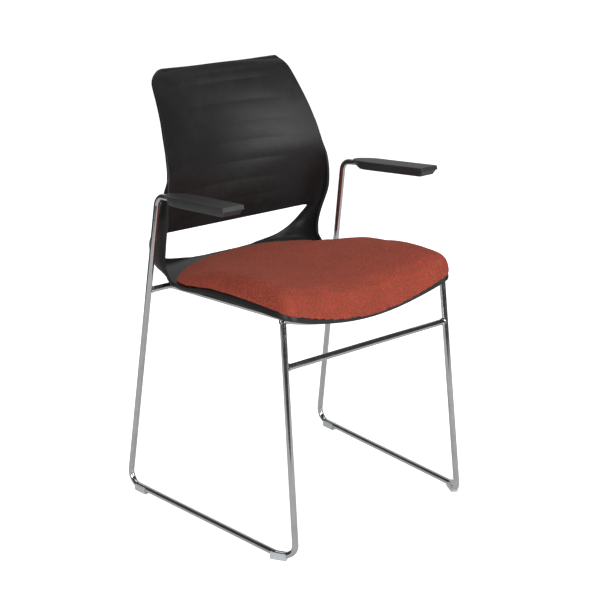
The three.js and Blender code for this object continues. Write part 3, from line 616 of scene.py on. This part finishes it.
def shell_mesh():
    """The shell: a front and a rear skin, joined by the rim outside and round the slot."""
    rows = row_stations()
    width = INNER_COLUMNS + OUTER_COLUMNS
    columns = 2 * width + 1
    front, normals, lips = [], [], []
    for u in rows:
        places = row_places(u)
        across = np.concatenate([-places[:0:-1], places])
        stations = np.full(across.shape, u)
        normal = surface_normal(stations, across)
        points = surface(stations, across) + normal * slat_offset(stations, across)[:, None]
        if u == SLOT_START:
            upright = unit(normal * np.array([1, 1, REAR_EDGE_TILT]))
            share = (1 - smoothstep(np.abs(across), *REAR_EDGE_FADE))[:, None]
            normal = unit(upright * share + normal * (1 - share))
        front.append(points)
        normals.append(normal)
        lips.append(np.full(columns, LIP_HEIGHT * float(along(LIP, np.array(u)))))
    front, normals, lips = np.concatenate(front), np.concatenate(normals), np.concatenate(lips)

    faces = []
    for row in range(len(rows) - 1):
        in_slot = SLOT_START <= rows[row] < SLOT_END
        for column in range(columns - 1):
            if in_slot and abs(column + 0.5 - width) < INNER_COLUMNS:
                continue
            a = row * columns + column
            faces.append((a, a + 1, a + columns + 1, a + columns))

    following = {}
    directed = {(f[k], f[(k + 1) % 4]) for f in faces for k in range(4)}
    for a, b in directed:
        if (b, a) not in directed:
            following[a] = b
    leading = {b: a for a, b in following.items()}

    used = sorted({i for f in faces for i in f})
    points = []
    front_index, rear_index, rings = {}, {}, {}
    profile = rim_profile()

    def put(point):
        points.append(point)
        return len(points) - 1

    for i in used:
        if i not in following:
            front_index[i] = put(front[i])
            rear_index[i] = put(front[i] - normals[i] * SHELL_THICKNESS)
            continue
        tangent = front[following[i]] - front[leading[i]]
        outward = unit(np.cross(tangent, normals[i]))
        front_index[i] = put(front[i] - outward * RIM_ROUND)
        chain = []
        for out, depth, lip in profile:
            place = front[i] + outward * out - normals[i] * depth
            place = place - np.array([0, 0, lips[i] * lip])
            chain.append(put(place))
        rings[i] = [front_index[i]] + chain
        rear_index[i] = chain[-1]

    quads = [tuple(front_index[i] for i in f) for f in faces]
    quads += [tuple(rear_index[i] for i in reversed(f)) for f in faces]
    for a, b in following.items():
        for k in range(len(rings[a]) - 1):
            quads.append((rings[b][k], rings[a][k], rings[a][k + 1], rings[b][k + 1]))
    return points, quads


def seat_at(x, y):
    """The point of the seat at a place in plan."""
    low, high = 0.0, float(SLOT_START)
    for _ in range(40):
        middle = (low + high) / 2
        edge = HALF * float(along(EDGE_X, np.array(middle)))
        if surface(middle, x / edge)[1] < y:
            low = middle
        else:
            high = middle
    return surface(low, x / (HALF * float(along(EDGE_X, np.array(low)))))


# Rods

def path_points(corners, radii, step_angle=4.0):
    """Straight runs with rounded bends."""
    points = [corners[0]]
    for i in range(1, len(corners) - 1):
        corner, radius = corners[i], radii[i - 1]
        a, b = unit(corners[i - 1] - corner), unit(corners[i + 1] - corner)
        half = math.acos(float(a @ b)) / 2
        centre = corner + unit(a + b) * radius / math.sin(half)
        start = corner + a * radius / math.tan(half) - centre
        end = corner + b * radius / math.tan(half) - centre
        turn = math.pi - 2 * half
        count = max(2, math.ceil(math.degrees(turn) / step_angle))
        for k in range(count + 1):
            t = k / count
            arc = start * math.sin((1 - t) * turn) + end * math.sin(t * turn)
            points.append(centre + arc / math.sin(turn))
    points.append(corners[-1])
    return np.array(points)


def band(a, b, count):
    """The faces between two closed rings of points that start at a and b."""
    return [(a + k, a + (k + 1) % count, b + (k + 1) % count, b + k) for k in range(count)]


def tube(points, radius, sides=ROD_SIDES, closed=False, end_break=END_BREAK):
    """Vertices and faces of a round rod along a path, with broken end edges."""
    points = np.asarray(points, float)
    if closed:
        tangents = unit(np.roll(points, -1, 0) - np.roll(points, 1, 0))
    else:
        tangents = unit(np.gradient(points, axis=0))
        tangents[0] = unit(points[1] - points[0])
        tangents[-1] = unit(points[-1] - points[-2])
    side = unit(np.cross(tangents[0], (0.3, 0.2, 0.93)))
    verts, rings = [], []
    angles = np.linspace(0, 2 * math.pi, sides, endpoint=False)

    def ring(centre, tangent, size):
        other = np.cross(tangent, side)
        rings.append(len(verts))
        for a in angles:
            verts.append(centre + size * (math.cos(a) * side + math.sin(a) * other))

    if not closed:
        ring(points[0], tangents[0], radius - end_break)
    for i, (point, tangent) in enumerate(zip(points, tangents)):
        side = unit(side - tangent * (side @ tangent))
        shift = 0.0
        if not closed and i in (0, len(points) - 1):
            shift = end_break if i == 0 else -end_break
        ring(point + tangent * shift, tangent, radius)
    if not closed:
        ring(points[-1], tangents[-1], radius - end_break)
    faces = []
    pairs = list(zip(rings[:-1], rings[1:])) + ([(rings[-1], rings[0])] if closed else [])
    for a, b in pairs:
        faces += band(a, b, sides)
    if not closed:
        faces.append(tuple(reversed(range(rings[0], rings[0] + sides))))
        faces.append(tuple(range(rings[-1], rings[-1] + sides)))
    return verts, faces


def merged(parts):
    """Several pairs of vertices and faces as one."""
    verts, faces = [], []
    for part_verts, part_faces in parts:
        base = len(verts)
        verts.extend(part_verts)
        faces.extend(tuple(i + base for i in f) for f in part_faces)
    return verts, faces


def weld_bead(end, direction, through, through_direction):
    """The bead round the end of a rod that is welded square or at a slant to another's side."""
    direction, through_direction = unit(direction), unit(through_direction)
    side = unit(np.cross(direction, through_direction))
    other = np.cross(side, direction)
    loop = []
    for angle in np.linspace(0, 2 * math.pi, 40, endpoint=False):
        round_rod = math.cos(angle) * side + math.sin(angle) * other
        start = end + ROD * round_rod - direction * 4 * ROD
        gap = start - through
        gap = gap - through_direction * (gap @ through_direction)
        run = direction - through_direction * (direction @ through_direction)
        a, b, c = run @ run, 2 * gap @ run, gap @ gap - ROD * ROD
        root = b * b - 4 * a * c
        reach = (-b - math.sqrt(root)) / (2 * a) if root > 0 else -b / (2 * a)
        ripple = BEAD_RIPPLE * math.sin(BEAD_WAVES * angle)
        loop.append(start + direction * (reach + ripple))
    return tube(loop, BEAD_RADIUS, sides=8, closed=True)


def under_seat(x, y):
    return float(seat_at(x, y)[2]) - SHELL_THICKNESS


def between(start, end, height):
    return start + (end - start) * (height - start[2]) / (end[2] - start[2])


def vec(x, y, z):
    return np.array([x, y, z], float)


FLOOR_ROD = GLIDE_SOLE + ROD
ARM_BEND = vec(HALF + ARM_OVERHANG, SEAT_DEPTH - ARM_SETBACK, ARM_HEIGHT)
ARM_END = ARM_BEND + vec(ARM_ROD_SPLAY, -ARM_ROD_LENGTH, ARM_ROD_RISE)
REAR_FOOT = vec(HALF + REAR_FOOT_OVERHANG, SEAT_DEPTH - REAR_FOOT_SETBACK, FLOOR_ROD)
KINK = vec(HALF + KINK_OVERHANG, KINK_SETBACK, FLOOR_ROD)
FRONT_FOOT = vec(HALF - FRONT_FOOT_INSET, -FRONT_FOOT_REACH, FLOOR_ROD)
RAIL_FRONT_X = HALF - RAIL_FRONT_INSET
RAIL_FRONT_Z = under_seat(RAIL_FRONT_X, LEG_TOP_SETBACK + ROD) - ROD - RAIL_CLEARANCE
BAR_END = vec(HALF - LEG_TOP_INSET, LEG_TOP_SETBACK, RAIL_FRONT_Z - FRONT_BAR_DROP)
LEG_TOP = BAR_END - vec(0, 0, LEG_INSET)
LEG_LINE_Y = between(ARM_BEND, REAR_FOOT, SEAT_HEIGHT)[1]
REAR_BAR_Z = under_seat(0, LEG_LINE_Y) - ROD - REAR_BAR_CLEARANCE
REAR_BAR_END = between(ARM_BEND, REAR_FOOT, REAR_BAR_Z)
RAIL_FRONT = vec(RAIL_FRONT_X, LEG_TOP_SETBACK + WELD_INSET, RAIL_FRONT_Z)
RAIL_REAR = vec(HALF - RAIL_REAR_INSET, REAR_BAR_END[1] - WELD_INSET, REAR_BAR_Z)
STRETCHER_END = between(FRONT_FOOT, LEG_TOP, SEAT_HEIGHT - STRETCHER_DROP)


def front_bar_points():
    """The bowed and sagging line of the front bar."""
    a = BAR_END * vec(-1, 1, 1)
    middle = vec(0, LEG_TOP_SETBACK - FRONT_BAR_SAG, BAR_END[2] - 2 * FRONT_BAR_DIP)
    t = np.linspace(0, 1, 41)[:, None]
    return a * (1 - t) ** 2 + 2 * middle * t * (1 - t) + BAR_END * t ** 2


def side_frame():
    """The left side rod from the arm's end to the top of the front leg, with its bead."""
    corners = [ARM_END, ARM_BEND, REAR_FOOT, KINK, FRONT_FOOT, LEG_TOP]
    bar = front_bar_points()
    bead = weld_bead(LEG_TOP, LEG_TOP - FRONT_FOOT, BAR_END, bar[-1] - bar[-2])
    return [tube(path_points(corners, BEND_RADII), ROD), bead]


def seat_rail():
    """The left seat rail with the beads at its rear end and along its lugs."""
    rail = tube(np.linspace(RAIL_FRONT, RAIL_REAR, 3), ROD)
    bead = weld_bead(RAIL_REAR, RAIL_REAR - RAIL_FRONT, REAR_BAR_END, vec(1, 0, 0))
    return [rail, bead] + lug_beads()


def cross_bar(stop, leg):
    """A straight bar between two legs, with its beads."""
    end = stop - vec(WELD_INSET, 0, 0)
    start = end * vec(-1, 1, 1)
    return [
        tube([start, (start + end) / 2, end], ROD, end_break=BAR_END_BREAK),
        weld_bead(end, vec(1, 0, 0), end, leg),
        weld_bead(start, vec(-1, 0, 0), start, leg * vec(-1, 1, 1)),
    ]


def turned(profile, centre, sides=36):
    """A ring turned round an upright axis from a closed profile of radius and height."""
    verts, faces = [], []
    for k in range(sides):
        a = 2 * math.pi * k / sides
        x, y = math.cos(a), math.sin(a)
        verts += [(centre[0] + r * x, centre[1] + r * y, z) for r, z in profile]
    count = len(profile)
    for k in range(sides):
        faces += band(k * count, (k + 1) % sides * count, count)
    return verts, faces


def boss(place, side_name):
    """A boss of the shell that stands on a lug, drilled for the screw."""
    screw_low, screw_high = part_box(f"seat_screw_{place}_{side_name}")
    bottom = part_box(f"seat_tab_{place}_{side_name}")[1][2] + BOSS_GAP
    top = screw_high[2] - BOSS_DEPTH
    centre = (np.array(screw_low) + np.array(screw_high)) / 2
    outer, foot = BOSS_RADIUS, BOSS_FOOT
    profile = [
        (BOSS_BORE, top), (BOSS_BORE, bottom),
        (outer - BOSS_EDGE, bottom), (outer, bottom + BOSS_EDGE),
    ]
    for a in np.radians([0, 30, 60, 90]):
        profile.append((outer + foot * (1 - math.cos(a)), top - foot * (1 - math.sin(a))))
    return turned(profile, centre)


def fillet_weld(line, side, height):
    """Two beads where a lug's upper and lower faces meet the side of the rail."""
    out = []
    for z in (0.0, -height):
        beads = [p + side * LUG_BEAD_RIPPLE * math.sin(2.1 * i) + vec(0, 0, z)
                 for i, p in enumerate(line)]
        out.append(tube(beads, LUG_BEAD_RADIUS, sides=10))
    return out


def lug_beads():
    """The weld beads of both lugs on the left rail."""
    run = unit(RAIL_REAR - RAIL_FRONT)
    inward = unit(np.cross((0, 0, 1), run)) * vec(1, 1, 0)
    inward = inward if inward[0] < 0 else -inward
    out = []
    for share in LUG_SHARES:
        on_rail = RAIL_FRONT + (RAIL_REAR - RAIL_FRONT) * share
        middle = on_rail + inward * (ROD - 0.1) + vec(0, 0, LUG_RISE)
        line = [middle + run * s for s in np.linspace(-LUG_BEAD_REACH, LUG_BEAD_REACH, 16)]
        out += fillet_weld(line, inward, LUG_THICKNESS)
    return out


# Build

HANDS = (("left", 1), ("right", -1))
PLACES = ("front", "rear")

points, quads = shell_mesh()
parts = [(list(to_part(points)), quads)]
parts += [boss(place, side_name) for place in PLACES for side_name, _ in HANDS]
shell = new_object("moulded_shell", *merged(parts))
finish_piece(shell, SHELL_FINISH, "seat_back_shell")


def chromed(name, parts, node, hand=1):
    """One chromed piece of rods and beads, mirrored for the right."""
    verts, faces = merged(parts)
    verts = verts if hand > 0 else mirrored(verts)
    finish_piece(new_object(name, to_part(verts), faces), CHROME_FINISH, node)


for side_name, hand in HANDS:
    chromed(f"bent_rod_{side_name}", side_frame(), f"side_frame_{side_name}", hand)
    chromed(f"under_seat_rod_{side_name}", seat_rail(), f"seat_rail_{side_name}", hand)
chromed("front_bowed_rod", [tube(front_bar_points(), ROD)], "front_seat_bar")
chromed("front_stretcher", cross_bar(STRETCHER_END, LEG_TOP - FRONT_FOOT), "front_cross_bar")
chromed("rear_stretcher", cross_bar(REAR_BAR_END, REAR_FOOT - ARM_BEND), "rear_cross_bar")


# Arm pads: length, width, top and bottom shares along the pad. Below, the nose is cut back.
ARM_PAD_SHARES = np.array([
    [0, 0.3, 1, -0.1],
    [0.03, 0.5, 1, 0.1],
    [0.09, 0.78, 1, 0.55],
    [0.14, 0.93, 1, 0.93],
    [0.21, 1, 1, 1],
    [0.955, 1, 1, 1],
    [0.992, 0.985, 0.98, 0],
    [1, 0.97, 0.12, -0.1],
])
ARM_FORWARD = unit(ARM_END - ARM_BEND)
ARM_SIDE = unit(np.cross((0, 0, 1), ARM_FORWARD))
ARM_UP = unit(np.cross(ARM_FORWARD, ARM_SIDE))


def arm_point(forward, side, up):
    return ARM_BEND + ARM_FORWARD * (PAD_TAIL + forward) + ARM_SIDE * side + ARM_UP * up


def arm_section(width, top, bottom):
    """Right half of a section: flat below, sides that lean in downwards, crisp edges, low crown."""
    reach = PAD_WIDTH / 2 * width
    high, low = PAD_TOP * top, -PAD_BOTTOM * bottom
    tall = high - low
    edge = min(PAD_EDGE, tall / 4, reach / 3)
    heel = min(PAD_HEEL, tall / 3, reach / 3)
    lean = min(PAD_LEAN, tall / 5, reach / 4)
    corner = [(reach - edge * (1 - math.cos(a)), high - edge * (1 - math.sin(a)))
              for a in np.radians([0, 22, 45, 68, 90])]
    base = [(reach - lean - heel * (1 - math.sin(a)), low + heel * (1 - math.cos(a)))
            for a in np.radians([0, 30, 60, 85])]
    flat = reach - edge
    crown = PAD_CROWN * width
    over = [(flat * s, high + crown * (1 - s * s)) for s in (0.75, 0.5, 0.25, 0)]
    return [(0, low), (reach / 2, low)] + base + corner + over


def arm_pad_mesh():
    """The left arm pad, with more sections near its nose."""
    nose = [0.955, 0.96, 0.97, 0.98, 0.992, 0.996]
    rings, verts = [], []
    for share in np.unique(np.concatenate([np.linspace(0, 1, 80), nose])):
        right = arm_section(*(
            np.interp(share, ARM_PAD_SHARES[:, 0], ARM_PAD_SHARES[:, k]) for k in (1, 2, 3)))
        section = right + [(-s, z) for s, z in right[1:-1][::-1]]
        rings.append(range(len(verts), len(verts) + len(section)))
        verts += [arm_point(PAD_LENGTH * share, s, z) for s, z in section]
    faces = []
    for a, b in zip(rings[:-1], rings[1:]):
        faces += band(a[0], b[0], len(a))
    faces += [tuple(reversed(rings[0])), tuple(rings[-1])]
    return np.array(verts), faces


pad_verts, pad_faces = arm_pad_mesh()
for side_name, hand in HANDS:
    verts = pad_verts if hand > 0 else mirrored(pad_verts)
    obj = new_object(f"arm_rest_{side_name}", to_part(verts), pad_faces)
    finish_piece(obj, PAD_FINISH, f"arm_pad_{side_name}", sharp=50)


# Glides and lugs are their solids with broken edges; the carrier board keeps its solid

def softened_copy(node, name, width, material):
    """A copy of a solid with broken edges."""
    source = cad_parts[node]
    obj = placed(name, source.data.copy())
    work = bmesh.new()
    work.from_mesh(obj.data)
    bmesh.ops.remove_doubles(work, verts=work.verts, dist=1e-5)
    bmesh.ops.dissolve_limit(work, angle_limit=math.radians(1), verts=work.verts, edges=work.edges)
    work.to_mesh(obj.data)
    work.free()
    bevel = obj.modifiers.new("edges", "BEVEL")
    bevel.width = width
    bevel.segments = 3
    bevel.angle_limit = math.radians(35)
    finish_piece(obj, material, node)


for side_name, _ in HANDS:
    for place in PLACES:
        at_place = f"{place}_{side_name}"
        softened_copy(
            f"glide_{at_place}", f"clip_glide_{at_place}", GLIDE_BREAK, GLIDE_FINISH)
        softened_copy(
            f"seat_tab_{at_place}", f"lug_{at_place}", LUG_BREAK, CHROME_FINISH)
board_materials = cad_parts["seat_pad_board"].data.materials
board_materials.clear()
board_materials.append(BOARD_FINISH)


# Screws: a pan head with a six-sided recess on a shank

def pan_head(node, name, axis, diameter):
    """A screw in place of its solid; the length comes from the solid's box."""
    low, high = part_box(node)
    centre = (np.array(low) + np.array(high)) / 2
    axis = unit(axis)
    corner = np.array(high) - np.array(low)
    flat = HEAD_WIDTH * diameter
    length = (corner[2] - flat * math.sqrt(max(0, 1 - axis[2] ** 2))) / axis[2]
    radius = diameter / 2
    head, depth = HEAD_WIDTH * radius, HEAD_HEIGHT * diameter
    profile = [(RECESS * radius, 0.55 * depth), (RECESS * radius, 0), (0.72 * head, 0)]
    profile += [(head * (0.72 + 0.28 * math.sin(a)), 0.75 * depth * (1 - math.cos(a)))
                for a in np.radians([20, 40, 60, 80, 90])]
    profile += [(head, 0.93 * depth), (0.97 * head, depth)]
    profile += [(radius, depth), (radius, length - 0.3 * radius), (0.75 * radius, length)]
    side = unit(np.cross(axis, (0.2, 1, 0.1)))
    other = np.cross(axis, side)
    start = centre - axis * length / 2
    sides = 36
    verts, faces = [], []
    for ring, (r, up) in enumerate(profile):
        for k in range(sides):
            a = 2 * math.pi * k / sides
            six = 1.0
            if ring < 2:
                six = math.cos(math.pi / 6) / math.cos((a % (math.pi / 3)) - math.pi / 6)
            outward = math.cos(a) * side + math.sin(a) * other
            verts.append(start + axis * up + r * six * outward)
    for ring in range(len(profile) - 1):
        faces += band(ring * sides, (ring + 1) * sides, sides)
    faces.append(tuple(range(sides)))
    faces.append(tuple(range(len(verts) - sides, len(verts))))
    finish_piece(new_object(name, verts, faces), STEEL_FINISH, node, sharp=35)


for side_name, hand in HANDS:
    tilt = ARM_UP * vec(hand, 1, 1)
    for place in PLACES:
        for node, name, axis, diameter in (
            ("seat_screw", "lug_screw", (0, 0, 1), 6 * MM),
            ("pad_screw", "board_screw", (0, 0, 1), 4 * MM),
            ("arm_screw", "arm_rest_screw", tilt, 5 * MM),
        ):
            pan_head(f"{node}_{place}_{side_name}", f"{name}_{place}_{side_name}", axis, diameter)


# Seat cushion: foam under woven cloth, swelled by a short cloth run

def rolled(share, squareness, roundness):
    """1 in the middle, falling to 0 at the edge."""
    return (1 - np.clip(share, 0, 1) ** squareness) ** (1 / roundness)


def cushion_place(row, side):
    """Where the cushion's grid stands on the seat: row from front to rear, side from -1 to 1."""
    drawn = 0.005 * np.sin(math.pi * row) + 0.03 * smoothstep(row, 0.85, 1)
    across = side * (CUSHION_WIDTH - drawn)
    rear = CUSHION_REAR - CUSHION_REAR_BOW * np.abs(across) ** 4
    return surface(CUSHION_FRONT + (rear - CUSHION_FRONT) * row, across)


def cushion_height(row, side):
    """Height of the cushion's top over its grid."""
    forward, rearward = np.maximum(1 - 2 * row, 0), np.maximum(2 * row - 1, 0)
    edges = rolled(np.abs(side), *CUSHION_SIDE_ROLL)
    edges = edges * rolled(forward, *CUSHION_FRONT_ROLL) * rolled(rearward, *CUSHION_REAR_ROLL)
    taper = 1 - CUSHION_TAPER * smoothstep(row, CUSHION_TAPER_START, 1)
    full = CUSHION_THICKNESS - CUSHION_EDGE - CUSHION_CROWN * side * side
    return CUSHION_EDGE + full * edges * taper


def eased(count):
    """Shares from 0 to 1 that gather at both ends."""
    t = np.linspace(0, 1, count)
    return 0.35 * t + 0.65 * (1 - np.cos(math.pi * t)) / 2


def cushion_base():
    """The closed grid: towards the front its edge is pulled over the rim and its sides bulge."""
    rows, sides = eased(70), 2 * eased(81) - 1
    row, side = np.meshgrid(rows, sides, indexing="ij")
    place = cushion_place(row, side)
    forward = 1 - smoothstep(row, 0.25, 0.65)
    nose = np.clip(1 - row / CUSHION_NOSE, 0, 1)
    flank = np.abs(side)
    drawn = CUSHION_WRAP * np.maximum(flank ** 24 * forward, nose ** 2)
    low, high = place.copy(), place.copy()
    low[..., 2] += SEAT_GAP - drawn
    high[..., 2] += SEAT_GAP + cushion_height(row, side) - drawn
    outward = np.sign(side) * (0.35 + 0.65 * forward)
    low[..., 0] += 0.6 * CUSHION_BULGE * outward * flank ** 24
    high[..., 0] += CUSHION_BULGE * outward * flank ** 9
    low[..., 1] -= 0.6 * CUSHION_BULGE * nose ** 2
    high[..., 1] -= CUSHION_BULGE * nose
    verts = np.concatenate([high.reshape(-1, 3), low.reshape(-1, 3)])
    n, m = row.shape
    faces = []
    for i in range(n - 1):
        for j in range(m - 1):
            a = i * m + j
            faces.append((a, a + 1, a + m + 1, a + m))
            faces.append((n * m + a, n * m + a + m, n * m + a + m + 1, n * m + a + 1))
    loop = list(range(m)) + [i * m + m - 1 for i in range(1, n)]
    loop += [(n - 1) * m + j for j in range(m - 2, -1, -1)] + [i * m for i in range(n - 2, 0, -1)]
    for a, b in zip(loop, loop[1:] + loop[:1]):
        faces.append((a, b, n * m + b, n * m + a))
    return verts, faces


def apply_modifiers(obj):
    """Gives the object the mesh that its modifiers make."""
    graph = bpy.context.evaluated_depsgraph_get()
    mesh = bpy.data.meshes.new_from_object(obj.evaluated_get(graph))
    obj.modifiers.clear()
    obj.data = mesh


def coordinates(mesh):
    """The mesh's points as an array."""
    flat = np.zeros(len(mesh.vertices) * 3, np.float32)
    mesh.vertices.foreach_get("co", flat)
    return flat.reshape(-1, 3).astype(float)


def swell(obj, pressure, cap):
    """Swells a mesh under inner pressure, held at its underside; no point moves beyond the cap."""
    before = coordinates(obj.data)
    normals = np.zeros(len(before) * 3, np.float32)
    obj.data.vertices.foreach_get("normal", normals)
    held = obj.vertex_groups.new(name="held")
    for index, up in enumerate(normals.reshape(-1, 3)[:, 2]):
        if up < CLOTH_HELD:
            held.add([index], 1.0, "REPLACE")
    cloth = obj.modifiers.new("cloth", "CLOTH")
    cloth.settings.quality = 5
    cloth.settings.mass = CLOTH_MASS
    cloth.settings.vertex_group_mass = "held"
    cloth.settings.use_pressure = True
    cloth.settings.uniform_pressure_force = pressure
    cloth.settings.effector_weights.gravity = 0.0
    cloth.point_cache.frame_start = 1
    cloth.point_cache.frame_end = CLOTH_FRAMES
    scene = bpy.context.scene
    for step in range(1, CLOTH_FRAMES + 1):
        scene.frame_set(step)
    graph = bpy.context.evaluated_depsgraph_get()
    moved = coordinates(obj.evaluated_get(graph).data)
    scene.frame_set(1)
    obj.modifiers.clear()
    shift = moved - before
    length = np.linalg.norm(shift, axis=1, keepdims=True)
    shift *= np.minimum(1, cap / np.maximum(length, 1e-9))
    obj.data.vertices.foreach_set("co", (before + shift).astype(np.float32).ravel())
    obj.vertex_groups.clear()
    obj.data.update()


verts, faces = cushion_base()
cushion = new_object("upholstered_cushion", to_part(verts), faces)
remesh = cushion.modifiers.new("remesh", "REMESH")
remesh.mode = "VOXEL"
remesh.voxel_size = CUSHION_VOXEL
apply_modifiers(cushion)
swell(cushion, CLOTH_PRESSURE, CLOTH_CAP)
smooth = cushion.modifiers.new("smooth", "SMOOTH")
smooth.factor = 0.5
smooth.iterations = 4
apply_modifiers(cushion)
cushion.modifiers.new("subdivision", "SUBSURF").levels = 1
finish_piece(cushion, FABRIC_FINISH, "seat_cushion", sharp=180)


# Floor, lights, world and camera

def glow(name, base, near, far):
    """Paper that shines back light: near the object and, past a metre or so, far from it."""
    n = Nodes(name)
    paper = n.noise(3.0, 2.0)
    n.set(Specular_IOR_Level=0.0, Roughness=1.0, Emission_Color=(1.0, 1.0, 1.0, 1.0))
    distance = n.tree.nodes.new("ShaderNodeVectorMath")
    distance.operation = "LENGTH"
    n.put(n.place, distance.inputs[0])
    share = n.math("MULTIPLY", distance.outputs["Value"], 0.8)
    color = n.mix(paper, (base, base, base), (base + 0.02, base + 0.02, base + 0.02))
    return n.use(Base_Color=color, Emission_Strength=n.span(share, near, far))


def staged(name, verts, faces, material, *rays):
    """A mesh of the studio that only the named rays meet."""
    mesh = bpy.data.meshes.new(name)
    mesh.from_pydata(verts, [], faces)
    obj = placed(name, mesh)
    mesh.materials.append(material)
    for ray in ("camera", "diffuse", "glossy", "transmission", "volume_scatter", "shadow"):
        setattr(obj, f"visible_{ray}", ray in rays)


def studio_floor():
    """The white floor that the camera sees."""
    turns = np.linspace(0, 2 * math.pi, 96, endpoint=False)
    verts = [(FLOOR_RADIUS * math.cos(a), FLOOR_RADIUS * math.sin(a), 0.0) for a in turns]
    paper = glow("studio_floor_paper", 0.7, 0.9, 1.0)
    staged("studio_floor", verts, [tuple(range(len(verts)))], paper, "camera")


def studio_reflector():
    """The dimmer sheet of paper that lights the object and is reflected by it."""
    profile = [(-PAPER_FRONT, 0.0), (PAPER_RISE, 0.0)]
    for a in np.linspace(0, math.pi / 2, 10)[1:]:
        profile.append((PAPER_RISE + PAPER_BEND * math.sin(a), PAPER_BEND * (1 - math.cos(a))))
    profile.append((PAPER_RISE + PAPER_BEND, PAPER_TOP))
    aside = PAPER_AWAY[::-1] * (1, -1)
    verts = [(*(d * PAPER_AWAY + w * aside), z - 0.001)
             for d, z in profile for w in (-PAPER_HALF_WIDTH, PAPER_HALF_WIDTH)]
    faces = [(2 * k, 2 * k + 1, 2 * k + 3, 2 * k + 2) for k in range(len(profile) - 1)]
    paper = glow("studio_reflector_paper", 0.3, PAPER_GLOW, PAPER_GLOW)
    staged("studio_reflector", verts, faces, paper, "diffuse", "glossy")


def studio_backdrop():
    """The white globe that the camera sees all round."""
    sides = 32
    heights = np.linspace(-math.pi / 2, math.pi / 2, 13)
    turns = np.linspace(0, 2 * math.pi, sides, endpoint=False)
    verts = [
        (BACKDROP_RADIUS * math.cos(e) * math.cos(a),
         BACKDROP_RADIUS * math.cos(e) * math.sin(a),
         BACKDROP_RADIUS * math.sin(e))
        for e in heights for a in turns]
    faces = []
    for r in range(len(heights) - 1):
        faces += band(r * sides, (r + 1) * sides, sides)
    staged("studio_backdrop", verts, faces, glow("studio_white", 0.0, 1.0, 1.0), "camera")


def aimed(name, data, place, direction):
    """A light or camera at a place, looking along a direction."""
    obj = placed(name, data)
    obj.location = place
    obj.rotation_mode = "QUATERNION"
    obj.rotation_quaternion = direction.to_track_quat("-Z", "Y")
    return obj


def soft_light(name, place, target, size, power):
    data = bpy.data.lights.new(name, "AREA")
    data.shape = "RECTANGLE"
    data.size, data.size_y = size
    data.energy = power
    aimed(name, data, place, Vector(target) - Vector(place)).visible_camera = False


def studio():
    """White round about for the camera; the object stands on dim paper in a dim room."""
    studio_floor()
    studio_reflector()
    studio_backdrop()
    for light in LIGHTS:
        soft_light(*light)
    world = bpy.data.worlds.new("studio")
    bpy.context.scene.world = world
    world.use_nodes = True
    background = world.node_tree.nodes["Background"]
    background.inputs["Color"].default_value = (1.0, 1.0, 1.0, 1.0)
    background.inputs["Strength"].default_value = WORLD_STRENGTH


def camera():
    data = bpy.data.cameras.new("camera")
    data.sensor_fit = "HORIZONTAL"
    data.sensor_width = CAMERA_SENSOR
    data.lens = CAMERA_LENS
    data.clip_end = 100.0
    flat = math.cos(CAMERA_ELEVATION)
    view = Vector((
        -math.sin(CAMERA_AZIMUTH) * flat,
        math.cos(CAMERA_AZIMUTH) * flat,
        -math.sin(CAMERA_ELEVATION),
    ))
    bpy.context.scene.camera = aimed("camera", data, CAMERA_PLACE, view)


studio()
camera()
bpy.context.scene.view_settings.view_transform = "Standard"
